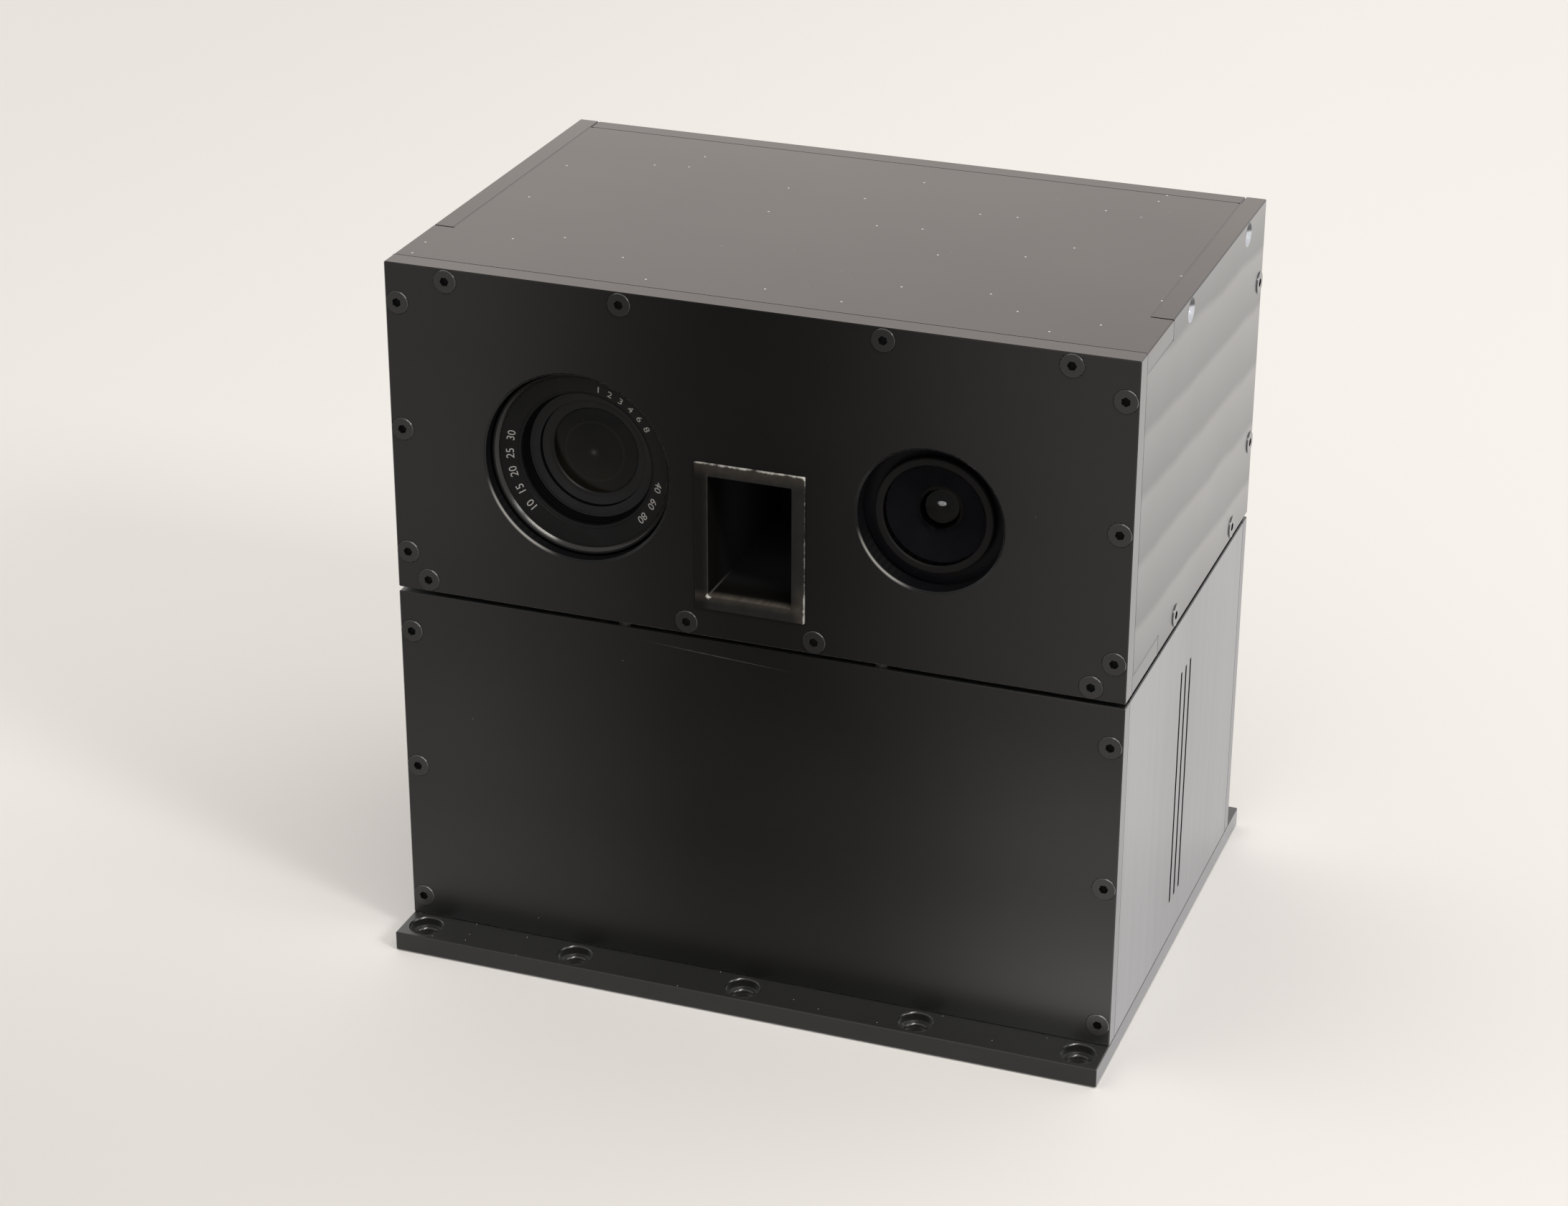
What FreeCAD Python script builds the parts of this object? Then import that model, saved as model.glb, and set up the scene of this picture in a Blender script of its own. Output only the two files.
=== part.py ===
import FreeCAD, Part
import math
import os

# Camera and navigation unit of a small satellite
# An upper camera module stands on a lower electronics module, and both stand on a flanged base plate.
# Each module is a box of machined plates joined by countersunk screws.
# All lengths are in millimetres. X runs to the right along the front, Y to the back and Z up.
# The origin is the middle of the base plate's underside.

Vector = FreeCAD.Vector
X_AXIS = Vector(1, 0, 0)
Y_AXIS = Vector(0, 1, 0)
Z_AXIS = Vector(0, 0, 1)

# Overall box
box_width = 226.0
box_depth = 144.0
lower_module_height = 117.5
seam_gap = 1.4
upper_module_height = 103.5

# General workmanship
overrun = 2.0
joint_gap = 0.1
edge_break = 0.3
side_plate_thickness = 6.4

# Numbers of flat facets round the turned pieces and the repeated holes
lens_facets = 48
seat_facets = 24
screw_hole_facets = 16
pad_facets = 8

# Base plate and its flanges
base_thickness = 6.2
flange_reach = 13.6
flange_hole_from_wall = 6.7
flange_outer_hole_from_side = 7.5
flange_inner_hole_from_side = 57.8
flange_hole_diameter = 6.6
counterbore_diameter = 11.0
counterbore_depth = 3.2
socket_diameter = 5.1
socket_depth = 12.0
boss_diameter = 24.0
boss_cover = 3.0

# Lower module
lower_cover_thickness = 5.0
deck_thickness = 5.0
lower_screw_pitch = 45.9
slot_width = 1.6
slot_length = 79.0
slot_pitch = 5.3
slot_count = 3

# Electronics inside the lower module
electronics_width = 150.0
electronics_depth = 96.0
electronics_height = 58.0
electronics_foot_height = 14.0
electronics_foot_width = 12.0
electronics_foot_inset = 6.0

# Spacer pads in the seam between the modules
pad_diameter = 5.0
pad_from_edge = 3.2
pad_front_x = 40.0
pad_side_front_y = 42.0
pad_side_back_y = 36.7

# Upper module
upper_cover_thickness = 6.5
back_plate_thickness = 6.5
cap_plate_thickness = 6.0
ear_length = 27.4
notch_gap = 0.4
seam_relief_depth = 0.3
seam_relief_inset = 22.0

# Countersunk screw holes
head_diameter = 7.4
shank_diameter = 4.4
tapped_diameter = 3.4
tapped_depth = 12.0
screw_edge_inset = 3.8
upper_side_screw_pitch = 39.6
top_row_inner_x = 39.5
top_row_from_side = 19.3
bottom_row_inner_x = 19.8
bottom_row_from_side = 10.2
side_head_diameter = 7.2
side_row_from_ear = 20.1
side_row_pitch = 68.0
side_row_inset = 4.1
back_column_pitch = 52.7

# Height of both lenses' middles above the upper module's underside
lens_above_module = 47.1

# Zoom lens, left
zoom_from_side = 59.1
zoom_opening_diameter = 58.0
opening_break = 0.7
zoom_rim_diameter = 57.0
zoom_rim_setback = 3.4
zoom_rim_width = 2.1
zoom_rim_break = 0.6
zoom_sleeve_length = 24.8
zoom_neck_diameter = 48.0
zoom_length = 72.8
name_ring_thickness = 1.4
name_ring_drop = 1.8
name_ring_slope = 2.0
zoom_mouth_diameter = 41.4
mouth_wall_depth = 4.0
mouth_wall_taper = 1.2
ledge_width = 3.1
ledge_drop = 2.0
throat_depth = 1.8
throat_taper = 1.0
zoom_glass_diameter = 26.4
zoom_glass_crown = 1.6
zoom_glass_thickness = 3.4
zoom_cell_length = 20.0
lens_floor_thickness = 2.0

# Wide lens, right
wide_from_side = 59.0
wide_opening_diameter = 43.4
wide_ring_diameter = 35.4
wide_ring_setback = 4.1
wide_ring_length = 5.0
wide_glass_diameter = 30.4
wide_glass_crown = 0.9
wide_glass_thickness = 2.4
wide_glass_drop = 0.4
wide_shoulder_diameter = 40.8
wide_shoulder_drop = 3.0
wide_neck_diameter = 34.0
wide_shoulder_length = 16.0
wide_length = 46.0
wide_element_diameter = 13.8
wide_element_drop = 6.4
wide_element_crown = 1.2
wide_element_thickness = 2.6

# Places of the rings that step a lens's dome, as shares of its radius
dome_shares = [0, 0.45, 0.75, 1]

# Rectangular aperture tube, middle
tube_width = 34.0
tube_height = 46.2
tube_wall = 4.2
tube_support_height = 3.1
tube_proud = 0.6
tube_length = 62.0
tube_clearance = 0.15

# Cameras and brackets behind the lenses
camera_side = 44.0
camera_length = 42.0
bracket_thickness = 8.0
bracket_margin = 7.0
bracket_setback = 34.0
tube_support_length = 30.0
tube_support_setback = 20.0

# Places worked out from the sizes above
half_width = box_width / 2
half_depth = box_depth / 2
front_y = -half_depth
back_y = half_depth
lower_top = lower_module_height
upper_bottom = lower_top + seam_gap
upper_top = upper_bottom + upper_module_height
lower_middle = lower_top / 2
upper_middle = (upper_bottom + upper_top) / 2
upper_inner_front = front_y + upper_cover_thickness
upper_inner_back = back_y - back_plate_thickness
inner_half_width = half_width - side_plate_thickness
ear_end_y = upper_inner_front + ear_length
floor_top = upper_bottom + cap_plate_thickness
cap_bottom = upper_top - cap_plate_thickness
column_x = half_width - screw_edge_inset
flange_hole_y = half_depth + flange_hole_from_wall
side_row_y = [ear_end_y + side_row_from_ear, ear_end_y + side_row_from_ear + side_row_pitch]
top_row_x = [top_row_inner_x, half_width - top_row_from_side]
bottom_row_x = [bottom_row_inner_x, half_width - bottom_row_from_side]
flange_outer_hole_x = half_width - flange_outer_hole_from_side
flange_inner_hole_x = half_width - flange_inner_hole_from_side
lens_height = upper_bottom + lens_above_module
zoom_x = zoom_from_side - half_width
wide_x = half_width - wide_from_side
tube_base = floor_top + tube_support_height
tube_middle = tube_base + tube_height / 2
tube_front_y = front_y - tube_proud


def block(x0, x1, y0, y1, z0, z1):
    """A box between two corners."""
    return Part.makeBox(x1 - x0, y1 - y0, z1 - z0, Vector(x0, y0, z0))


def eased(shape):
    """A box with all its edges broken."""
    return shape.makeChamfer(edge_break, shape.Edges)


def prism(points, direction, thickness):
    """A plate with a flat outline, as thick as said along a direction, with its face edges broken."""
    face = Part.Face(Part.makePolygon(points + [points[0]]))
    plate = face.extrude(direction * thickness)
    rims = [edge for edge in plate.Edges if not round(edge.tangentAt(edge.FirstParameter).dot(direction))]
    return plate.makeChamfer(edge_break, rims)


def rod(diameter, length, start, direction):
    """A round bar or a drill."""
    return Part.makeCylinder(diameter / 2, length, start, direction)


def turned(outline, start, direction, facets):
    """A turned body with flat facets round it, from points of radius and distance along a direction."""
    turns = [2 * math.pi * index / facets for index in range(facets)]
    rings = [[Vector(radius * math.cos(turn), radius * math.sin(turn), distance) for turn in turns]
             for radius, distance in outline]
    faces = []
    for near, far in zip(rings, rings[1:] + rings[:1]):
        for index in range(facets):
            corners = []
            for corner in (near[index - 1], near[index], far[index], far[index - 1]):
                if corner not in corners:
                    corners.append(corner)
            if len(corners) > 2:
                faces.append(Part.Face(Part.makePolygon(corners + [corners[0]])))
    body = Part.Solid(Part.Shell(faces)).removeSplitter()
    body.Placement = FreeCAD.Placement(start, FreeCAD.Rotation(Z_AXIS, direction))
    return body


def stub(diameter, length, start, direction, facets):
    """A short bar or a drill with flat facets round it."""
    radius = diameter / 2
    return turned([(0, 0), (radius, 0), (radius, length), (0, length)], start, direction, facets)


def countersink(mouth, inward, head, through):
    """The cutter of a countersunk hole, whose mouth lies on the plate's outer face."""
    shank = shank_diameter / 2
    end = through + overrun
    outline = [
        (0, -overrun),
        (head / 2 + overrun, -overrun),
        (shank, head / 2 - shank),
        (shank, end),
        (0, end),
    ]
    return turned(outline, mouth, inward, screw_hole_facets)


def lens_piece(outline, x):
    """A turned piece of a lens, measured back from the front cover's face."""
    return turned(outline, Vector(x, front_y, lens_height), Y_AXIS, lens_facets)


def lens_disc(diameter, crown, thickness, x, rim_distance):
    """A disc of glass with a domed front, whose rim lies at the given distance behind the cover's face."""
    radius = diameter / 2
    back = rim_distance + thickness
    dome = [(radius * share, rim_distance - crown * (1 - share * share)) for share in dome_shares]
    return lens_piece(dome + [(radius, back), (0, back)], x)


def row(xs, z):
    """Screw places along one row, mirrored about the middle."""
    return [(side * x, z) for x in xs for side in (-1, 1)]


def column(x, middle, pitch, steps):
    """Screw places in one column on each side."""
    return [(side * x, middle + step * pitch) for step in steps for side in (-1, 1)]


def upper_front_places():
    """Screws of the upper module's front cover."""
    top = row(top_row_x, upper_top - screw_edge_inset)
    bottom = row(bottom_row_x, upper_bottom + screw_edge_inset)
    sides = column(column_x, upper_middle, upper_side_screw_pitch, (-1, 0, 1))
    return top, bottom, sides


def side_screw_places():
    """Screws of an upper side plate, as rows into the caps and a column into the back plate."""
    caps = [(y, z) for y in side_row_y for z in (upper_bottom + side_row_inset, upper_top - side_row_inset)]
    back = [(back_y - screw_edge_inset, upper_middle + step * back_column_pitch / 2) for step in (-1, 1)]
    return caps + back


def make_base_plate():
    """Base plate with a flange in front and behind, five counterbored holes in each, and a tripod socket."""
    reach = half_depth + flange_reach
    plate = eased(block(-half_width, half_width, -reach, reach, 0, base_thickness))
    boss_height = socket_depth + boss_cover - base_thickness
    boss = stub(boss_diameter, boss_height, Vector(0, 0, base_thickness), Z_AXIS, seat_facets)
    cutters = [rod(socket_diameter, socket_depth + overrun, Vector(0, 0, -overrun), Z_AXIS)]
    hole_x = [-flange_outer_hole_x, -flange_inner_hole_x, 0, flange_inner_hole_x, flange_outer_hole_x]
    for x in hole_x:
        for y in (-flange_hole_y, flange_hole_y):
            cutters.append(counterbored_hole(x, y))
    return plate.fuse(boss).cut(cutters).removeSplitter()


def counterbored_hole(x, y):
    """The cutter of one flange hole: the bolt's hole and the seat of its head."""
    bolt = rod(flange_hole_diameter, base_thickness + 2 * overrun, Vector(x, y, -overrun), Z_AXIS)
    seat = stub(counterbore_diameter, counterbore_depth + overrun,
                Vector(x, y, base_thickness - counterbore_depth), Z_AXIS, seat_facets)
    return bolt.fuse(seat)


def make_lower_cover(face_y, inward):
    """Lower module's front or back cover, with three screws down each side."""
    y0, y1 = sorted((face_y, face_y + inward.y * lower_cover_thickness))
    plate = eased(block(-half_width, half_width, y0, y1, base_thickness, lower_top))
    places = column(column_x, lower_middle, lower_screw_pitch, (-1, 0, 1))
    cutters = [countersink(Vector(x, face_y, z), inward, head_diameter, lower_cover_thickness)
               for x, z in places]
    return plate.cut(cutters)


def make_lower_side(side, vent_slots):
    """Lower module's side plate between the covers, with its vent slots."""
    reach = half_depth - lower_cover_thickness - joint_gap
    x0, x1 = sorted((side * half_width, side * inner_half_width))
    plate = eased(block(x0, x1, -reach, reach, base_thickness, lower_top))
    for index in range(vent_slots):
        plate = plate.cut(vent_slot(x0, x1, (index - (vent_slots - 1) / 2) * slot_pitch))
    return plate


def vent_slot(x0, x1, y):
    """The cutter of one upright vent slot through a side plate."""
    return block(x0 - overrun, x1 + overrun, y - slot_width / 2, y + slot_width / 2,
                 lower_middle - slot_length / 2, lower_middle + slot_length / 2)


def make_lower_deck():
    """Lower module's top plate, between its side plates and covers."""
    x = inner_half_width - joint_gap
    y = half_depth - lower_cover_thickness - joint_gap
    return eased(block(-x, x, -y, y, lower_top - deck_thickness, lower_top))


def make_electronics_unit():
    """The electronics as one plain block on four feet, clear of the socket's boss."""
    x = electronics_width / 2
    y = electronics_depth / 2
    z = base_thickness + electronics_foot_height
    body = block(-x, x, -y, y, z, z + electronics_height)
    near = electronics_foot_inset
    far = near + electronics_foot_width
    feet = [block(*sorted((side * (x - near), side * (x - far))),
                  *sorted((end * (y - near), end * (y - far))), base_thickness, z)
            for side in (-1, 1) for end in (-1, 1)]
    return body.fuse(feet)


def make_spacer_pads():
    """Small pads that carry the upper module on the lower one."""
    y = half_depth - pad_from_edge
    x = half_width - pad_from_edge
    places = [(u, v) for u in (-pad_front_x, pad_front_x) for v in (-y, y)]
    places += [(u, v) for u in (-x, x) for v in (-pad_side_front_y, pad_side_back_y)]
    pads = [stub(pad_diameter, seam_gap, Vector(u, v, lower_top), Z_AXIS, pad_facets) for u, v in places]
    return Part.makeCompound(pads)


def cap_outline(z):
    """Outline of the upper module's top and floor plates: its front corners reach out as ears."""
    inner = inner_half_width - joint_gap
    front = upper_inner_front + joint_gap
    back = upper_inner_back - joint_gap
    return [
        Vector(-half_width, front, z),
        Vector(half_width, front, z),
        Vector(half_width, ear_end_y, z),
        Vector(inner, ear_end_y, z),
        Vector(inner, back, z),
        Vector(-inner, back, z),
        Vector(-inner, ear_end_y, z),
        Vector(-half_width, ear_end_y, z),
    ]


def make_upper_top_plate():
    """Top plate with its ears, a relief along its front edge, and two tapped holes in its right edge."""
    plate = prism(cap_outline(cap_bottom), Z_AXIS, cap_plate_thickness)
    reach = half_width - seam_relief_inset
    front = upper_inner_front + joint_gap
    cutters = [block(-reach, reach, front - overrun, front + seam_relief_depth,
                     cap_bottom - overrun, upper_top + overrun)]
    for y in side_row_y:
        mouth = Vector(inner_half_width + overrun, y, upper_top - side_row_inset)
        cutters.append(stub(tapped_diameter, tapped_depth + overrun, mouth, -X_AXIS, screw_hole_facets))
    return plate.cut(cutters)


def make_upper_floor_plate():
    """Floor plate of the upper module, with the same ears as the top plate."""
    return prism(cap_outline(upper_bottom), Z_AXIS, cap_plate_thickness)


def make_upper_side(side):
    """Upper module's side plate, notched at its front corners for the cap plates' ears."""
    front = upper_inner_front + joint_gap
    notch_y = ear_end_y + notch_gap
    notch_low = floor_top + joint_gap
    notch_high = cap_bottom - joint_gap
    x0 = min(side * half_width, side * inner_half_width)
    outline = [
        Vector(x0, front, notch_low),
        Vector(x0, notch_y, notch_low),
        Vector(x0, notch_y, upper_bottom),
        Vector(x0, back_y, upper_bottom),
        Vector(x0, back_y, upper_top),
        Vector(x0, notch_y, upper_top),
        Vector(x0, notch_y, notch_high),
        Vector(x0, front, notch_high),
    ]
    plate = prism(outline, X_AXIS, side_plate_thickness)
    for y, z in side_screw_places():
        mouth = Vector(side * half_width, y, z)
        plate = plate.cut(countersink(mouth, X_AXIS * -side, side_head_diameter, side_plate_thickness))
    return plate


def make_upper_back_plate():
    """Back plate between the side plates, screwed into the cap plates' back edges."""
    x = inner_half_width - joint_gap
    plate = eased(block(-x, x, upper_inner_back, back_y, upper_bottom, upper_top))
    top, bottom, _ = upper_front_places()
    cutters = [countersink(Vector(u, back_y, z), -Y_AXIS, head_diameter, back_plate_thickness)
               for u, z in top + bottom]
    return plate.cut(cutters)


def round_opening(x, diameter):
    """The cutter of a round window through the front cover, with its front edge broken."""
    mouth = Vector(x, front_y - overrun, lens_height)
    wide = diameter / 2 + opening_break + overrun
    cone = Part.makeCone(wide, diameter / 2, wide - diameter / 2, mouth, Y_AXIS)
    return rod(diameter, upper_cover_thickness + 2 * overrun, mouth, Y_AXIS).fuse(cone)


def make_upper_front_cover():
    """Front cover over the whole upper module, with two round windows and the tube's window."""
    plate = eased(block(-half_width, half_width, front_y, upper_inner_front, upper_bottom, upper_top))
    top, bottom, sides = upper_front_places()
    cutters = [countersink(Vector(x, front_y, z), Y_AXIS, head_diameter, upper_cover_thickness)
               for x, z in top + bottom + sides]
    cutters.append(round_opening(zoom_x, zoom_opening_diameter))
    cutters.append(round_opening(wide_x, wide_opening_diameter))
    x = tube_width / 2 + tube_clearance
    z = tube_height / 2 + tube_clearance
    cutters.append(block(-x, x, front_y - overrun, upper_inner_front + overrun,
                         tube_middle - z, tube_middle + z))
    return plate.cut(cutters)


def make_aperture_tube():
    """Rectangular tube that stands a little proud of the front cover."""
    x = tube_width / 2
    z = tube_height / 2
    back = tube_front_y + tube_length
    outer = eased(block(-x, x, tube_front_y, back, tube_middle - z, tube_middle + z))
    x -= tube_wall
    z -= tube_wall
    inner = block(-x, x, tube_front_y - overrun, back + overrun, tube_middle - z, tube_middle + z)
    return outer.cut(inner)


def make_tube_camera():
    """Camera body that closes the tube's back end."""
    y = tube_front_y + tube_length
    x = tube_width / 2
    z = tube_height / 2
    return eased(block(-x, x, y, y + camera_length, tube_middle - z, tube_middle + z))


def make_tube_support():
    """Pad between the tube and the floor plate."""
    y = front_y + tube_support_setback
    x = tube_width / 2
    return block(-x, x, y, y + tube_support_length, floor_top, tube_base)


def zoom_levels():
    """Distances behind the front face of the zoom lens's name ring, mouth, ledge, throat and glass."""
    ring_front = zoom_rim_setback + name_ring_drop
    mouth = ring_front + name_ring_slope
    ledge = mouth + mouth_wall_depth
    throat = ledge + ledge_drop
    glass = throat + throat_depth
    return ring_front, mouth, ledge, throat, glass


def make_zoom_barrel():
    """Zoom lens barrel: a wide front sleeve with a raised rim, and a slimmer neck behind."""
    outer = zoom_rim_diameter / 2
    bore = outer - zoom_rim_width
    ring_front, _, _, _, _ = zoom_levels()
    seat = ring_front + zoom_cell_length
    neck = zoom_neck_diameter / 2
    sleeve_end = zoom_rim_setback + zoom_sleeve_length
    end = zoom_rim_setback + zoom_length
    outline = [
        (bore, zoom_rim_setback),
        (outer - zoom_rim_break, zoom_rim_setback),
        (outer, zoom_rim_setback + zoom_rim_break),
        (outer, sleeve_end),
        (neck, sleeve_end),
        (neck, end),
        (0, end),
        (0, seat),
        (bore, seat),
    ]
    return lens_piece(outline, zoom_x)


def make_zoom_name_ring():
    """Sloping ring between the barrel's rim and the lens's mouth."""
    outer = zoom_rim_diameter / 2 - zoom_rim_width
    inner = zoom_mouth_diameter / 2
    ring_front, mouth, _, _, _ = zoom_levels()
    outline = [
        (outer, ring_front),
        (outer, mouth + name_ring_thickness),
        (inner, mouth + name_ring_thickness),
        (inner, mouth),
    ]
    return lens_piece(outline, zoom_x)


def make_zoom_cell():
    """Stepped cell that funnels from the mouth to the front glass."""
    outer = zoom_rim_diameter / 2 - zoom_rim_width
    ring_front, mouth, ledge, throat, glass = zoom_levels()
    start = mouth + name_ring_thickness
    mouth_radius = zoom_mouth_diameter / 2
    ledge_radius = mouth_radius - mouth_wall_taper
    throat_radius = ledge_radius - ledge_width
    glass_radius = zoom_glass_diameter / 2
    glass_back = glass + zoom_glass_thickness
    end = ring_front + zoom_cell_length
    outline = [
        (outer, start),
        (outer, end),
        (0, end),
        (0, end - lens_floor_thickness),
        (glass_radius, end - lens_floor_thickness),
        (glass_radius, glass_back),
        (glass_radius, glass),
        (throat_radius - throat_taper, glass),
        (throat_radius, throat),
        (ledge_radius, ledge),
        (mouth_radius, start),
    ]
    return lens_piece(outline, zoom_x)


def make_zoom_glass():
    """Front glass of the zoom lens, with a domed face."""
    return lens_disc(zoom_glass_diameter, zoom_glass_crown, zoom_glass_thickness, zoom_x, zoom_levels()[-1])


def make_wide_barrel():
    """Wide lens barrel: a front shoulder behind the ring, and a slimmer neck to the camera."""
    start = wide_ring_setback + wide_shoulder_drop
    ring = wide_ring_diameter / 2
    bore = wide_glass_diameter / 2
    ring_end = wide_ring_setback + wide_ring_length
    shoulder = wide_shoulder_diameter / 2
    neck = wide_neck_diameter / 2
    shoulder_end = start + wide_shoulder_length
    end = wide_ring_setback + wide_length
    element_back = wide_ring_setback + wide_element_drop + wide_element_thickness
    outline = [
        (ring, start),
        (shoulder, start),
        (shoulder, shoulder_end),
        (neck, shoulder_end),
        (neck, end),
        (0, end),
        (0, element_back),
        (bore, element_back),
        (bore, ring_end),
        (ring, ring_end),
    ]
    return lens_piece(outline, wide_x)


def make_wide_ring():
    """Flat retaining ring round the wide lens's front glass."""
    outer = wide_ring_diameter / 2
    inner = wide_glass_diameter / 2
    start = wide_ring_setback
    end = start + wide_ring_length
    outline = [
        (inner, start),
        (outer - edge_break, start),
        (outer, start + edge_break),
        (outer, end),
        (inner, end),
    ]
    return lens_piece(outline, wide_x)


def make_wide_glass():
    """Front glass of the wide lens."""
    distance = wide_ring_setback + wide_glass_drop
    return lens_disc(wide_glass_diameter, wide_glass_crown, wide_glass_thickness, wide_x, distance)


def make_wide_baffle():
    """Cone between the front glass and the inner element."""
    start = wide_ring_setback + wide_glass_drop + wide_glass_thickness
    element = wide_ring_setback + wide_element_drop
    end = element + wide_element_thickness
    outer = wide_glass_diameter / 2
    inner = wide_element_diameter / 2
    outline = [
        (outer, start),
        (outer, end),
        (inner, end),
        (inner, element),
    ]
    return lens_piece(outline, wide_x)


def make_wide_element():
    """Small domed element behind the wide lens's front glass."""
    distance = wide_ring_setback + wide_element_drop
    return lens_disc(wide_element_diameter, wide_element_crown, wide_element_thickness, wide_x, distance)


def make_bracket(x, neck_diameter):
    """Upright bracket from the floor plate round a lens's neck."""
    half = neck_diameter / 2 + bracket_margin
    y = front_y + bracket_setback
    body = block(x - half, x + half, y, y + bracket_thickness, floor_top, lens_height + half)
    bore = stub(neck_diameter + 2 * joint_gap, bracket_thickness + 2 * overrun,
                Vector(x, y - overrun, lens_height), Y_AXIS, lens_facets)
    return body.cut(bore)


def make_camera(x, lens_end):
    """Camera body on a lens's back end."""
    y = front_y + lens_end
    half = camera_side / 2
    return eased(block(x - half, x + half, y, y + camera_length, lens_height - half, lens_height + half))


def build_pieces():
    """Every node's name and shape."""
    return {
        "base_plate": make_base_plate(),
        "lower_front_cover": make_lower_cover(front_y, Y_AXIS),
        "lower_back_cover": make_lower_cover(back_y, -Y_AXIS),
        "lower_left_side": make_lower_side(-1, 0),
        "lower_right_side": make_lower_side(1, slot_count),
        "lower_deck": make_lower_deck(),
        "electronics_unit": make_electronics_unit(),
        "spacer_pads": make_spacer_pads(),
        "upper_floor_plate": make_upper_floor_plate(),
        "upper_top_plate": make_upper_top_plate(),
        "upper_left_side": make_upper_side(-1),
        "upper_right_side": make_upper_side(1),
        "upper_back_plate": make_upper_back_plate(),
        "upper_front_cover": make_upper_front_cover(),
        "aperture_tube": make_aperture_tube(),
        "tube_camera": make_tube_camera(),
        "tube_support": make_tube_support(),
        "zoom_barrel": make_zoom_barrel(),
        "zoom_name_ring": make_zoom_name_ring(),
        "zoom_cell": make_zoom_cell(),
        "zoom_glass": make_zoom_glass(),
        "zoom_bracket": make_bracket(zoom_x, zoom_neck_diameter),
        "zoom_camera": make_camera(zoom_x, zoom_rim_setback + zoom_length),
        "wide_barrel": make_wide_barrel(),
        "wide_ring": make_wide_ring(),
        "wide_glass": make_wide_glass(),
        "wide_baffle": make_wide_baffle(),
        "wide_element": make_wide_element(),
        "wide_bracket": make_bracket(wide_x, wide_neck_diameter),
        "wide_camera": make_camera(wide_x, wide_ring_setback + wide_length),
    }


def main():
    """Writes one file for each piece."""
    os.makedirs("parts", exist_ok=True)
    for name, shape in build_pieces().items():
        shape.exportStep("parts/" + name + ".step")
        print(name, "solids", len(shape.Solids), "valid", shape.isValid(), "volume", round(shape.Volume))


main()
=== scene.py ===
import bpy
import bmesh
import math
from bpy.props import FloatProperty, FloatVectorProperty, PointerProperty
from mathutils import Matrix, Quaternion, Vector


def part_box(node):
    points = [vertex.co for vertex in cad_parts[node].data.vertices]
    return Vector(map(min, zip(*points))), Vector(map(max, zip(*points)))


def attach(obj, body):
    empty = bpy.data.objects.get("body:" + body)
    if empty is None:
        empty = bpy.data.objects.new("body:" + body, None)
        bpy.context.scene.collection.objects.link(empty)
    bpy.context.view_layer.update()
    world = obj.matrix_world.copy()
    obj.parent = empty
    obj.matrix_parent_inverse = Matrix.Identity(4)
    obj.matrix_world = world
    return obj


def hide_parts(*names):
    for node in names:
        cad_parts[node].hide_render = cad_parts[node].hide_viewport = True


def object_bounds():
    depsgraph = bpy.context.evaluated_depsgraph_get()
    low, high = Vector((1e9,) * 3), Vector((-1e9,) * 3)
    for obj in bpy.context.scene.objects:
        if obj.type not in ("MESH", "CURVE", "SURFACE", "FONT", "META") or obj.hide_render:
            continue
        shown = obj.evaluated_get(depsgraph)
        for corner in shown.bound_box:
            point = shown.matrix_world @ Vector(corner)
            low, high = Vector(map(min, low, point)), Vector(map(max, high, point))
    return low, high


bl_info = {
    "name": "Satellite Camera Unit",
    "version": (1, 0, 0),
    "blender": (4, 5, 0),
    "location": "3D View > Sidebar > Camera Unit",
    "description": "Finishes, screws and lenses of a small satellite's camera unit on its packed frame",
    "category": "Object",
}

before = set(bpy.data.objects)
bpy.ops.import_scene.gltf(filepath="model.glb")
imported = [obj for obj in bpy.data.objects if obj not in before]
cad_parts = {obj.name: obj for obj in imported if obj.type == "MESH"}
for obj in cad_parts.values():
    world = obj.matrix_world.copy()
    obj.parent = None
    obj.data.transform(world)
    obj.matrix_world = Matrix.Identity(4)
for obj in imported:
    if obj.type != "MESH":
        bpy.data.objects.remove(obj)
cad_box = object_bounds()

MM = 0.001
BODY = "root"
X_AXIS, Y_AXIS, Z_AXIS = Vector((1, 0, 0)), Vector((0, 1, 0)), Vector((0, 0, 1))

# Modelling: how near points merge, steps round what is turned, and the angles up to which pieces shade smoothly
MERGE_DISTANCE = 0.001 * MM
ROUNDING_STEPS = 3
TURNED_STEPS, GLASS_STEPS, HOLE_STEPS = 128, 96, 48
SMOOTH_ANGLE, SCREW_SMOOTH_ANGLE, GLASS_SMOOTH_ANGLE = (math.radians(angle) for angle in (32, 20, 50))

# The round windows of the upper front cover: the node in each, and the window's radius
WINDOWS = (("zoom_barrel", 29.0 * MM), ("wide_ring", 21.7 * MM))

# The zoom lens's scale: each group's first angle in degrees, its numbers, and the angle from one to the next
SCALE_GROUPS = ((78, "1 2 3 4 6 8", 9), (-136, "10 15 20 25 30", 14), (-12, "40 60 80", 14))

# Tones and sizes that several finishes share
LENS_BLACK = (0.0045, 0.0044, 0.0046)
# UNLIT_BLACK is the tone of painted shade, for places that get no light.
UNLIT_BLACK = (0.0042, 0.0042, 0.0050)
METAL_GRAIN_DEPTH = 0.004 * MM
BASE_CLOUDS = 1.2
GLASS_DUST = 0.2

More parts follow.
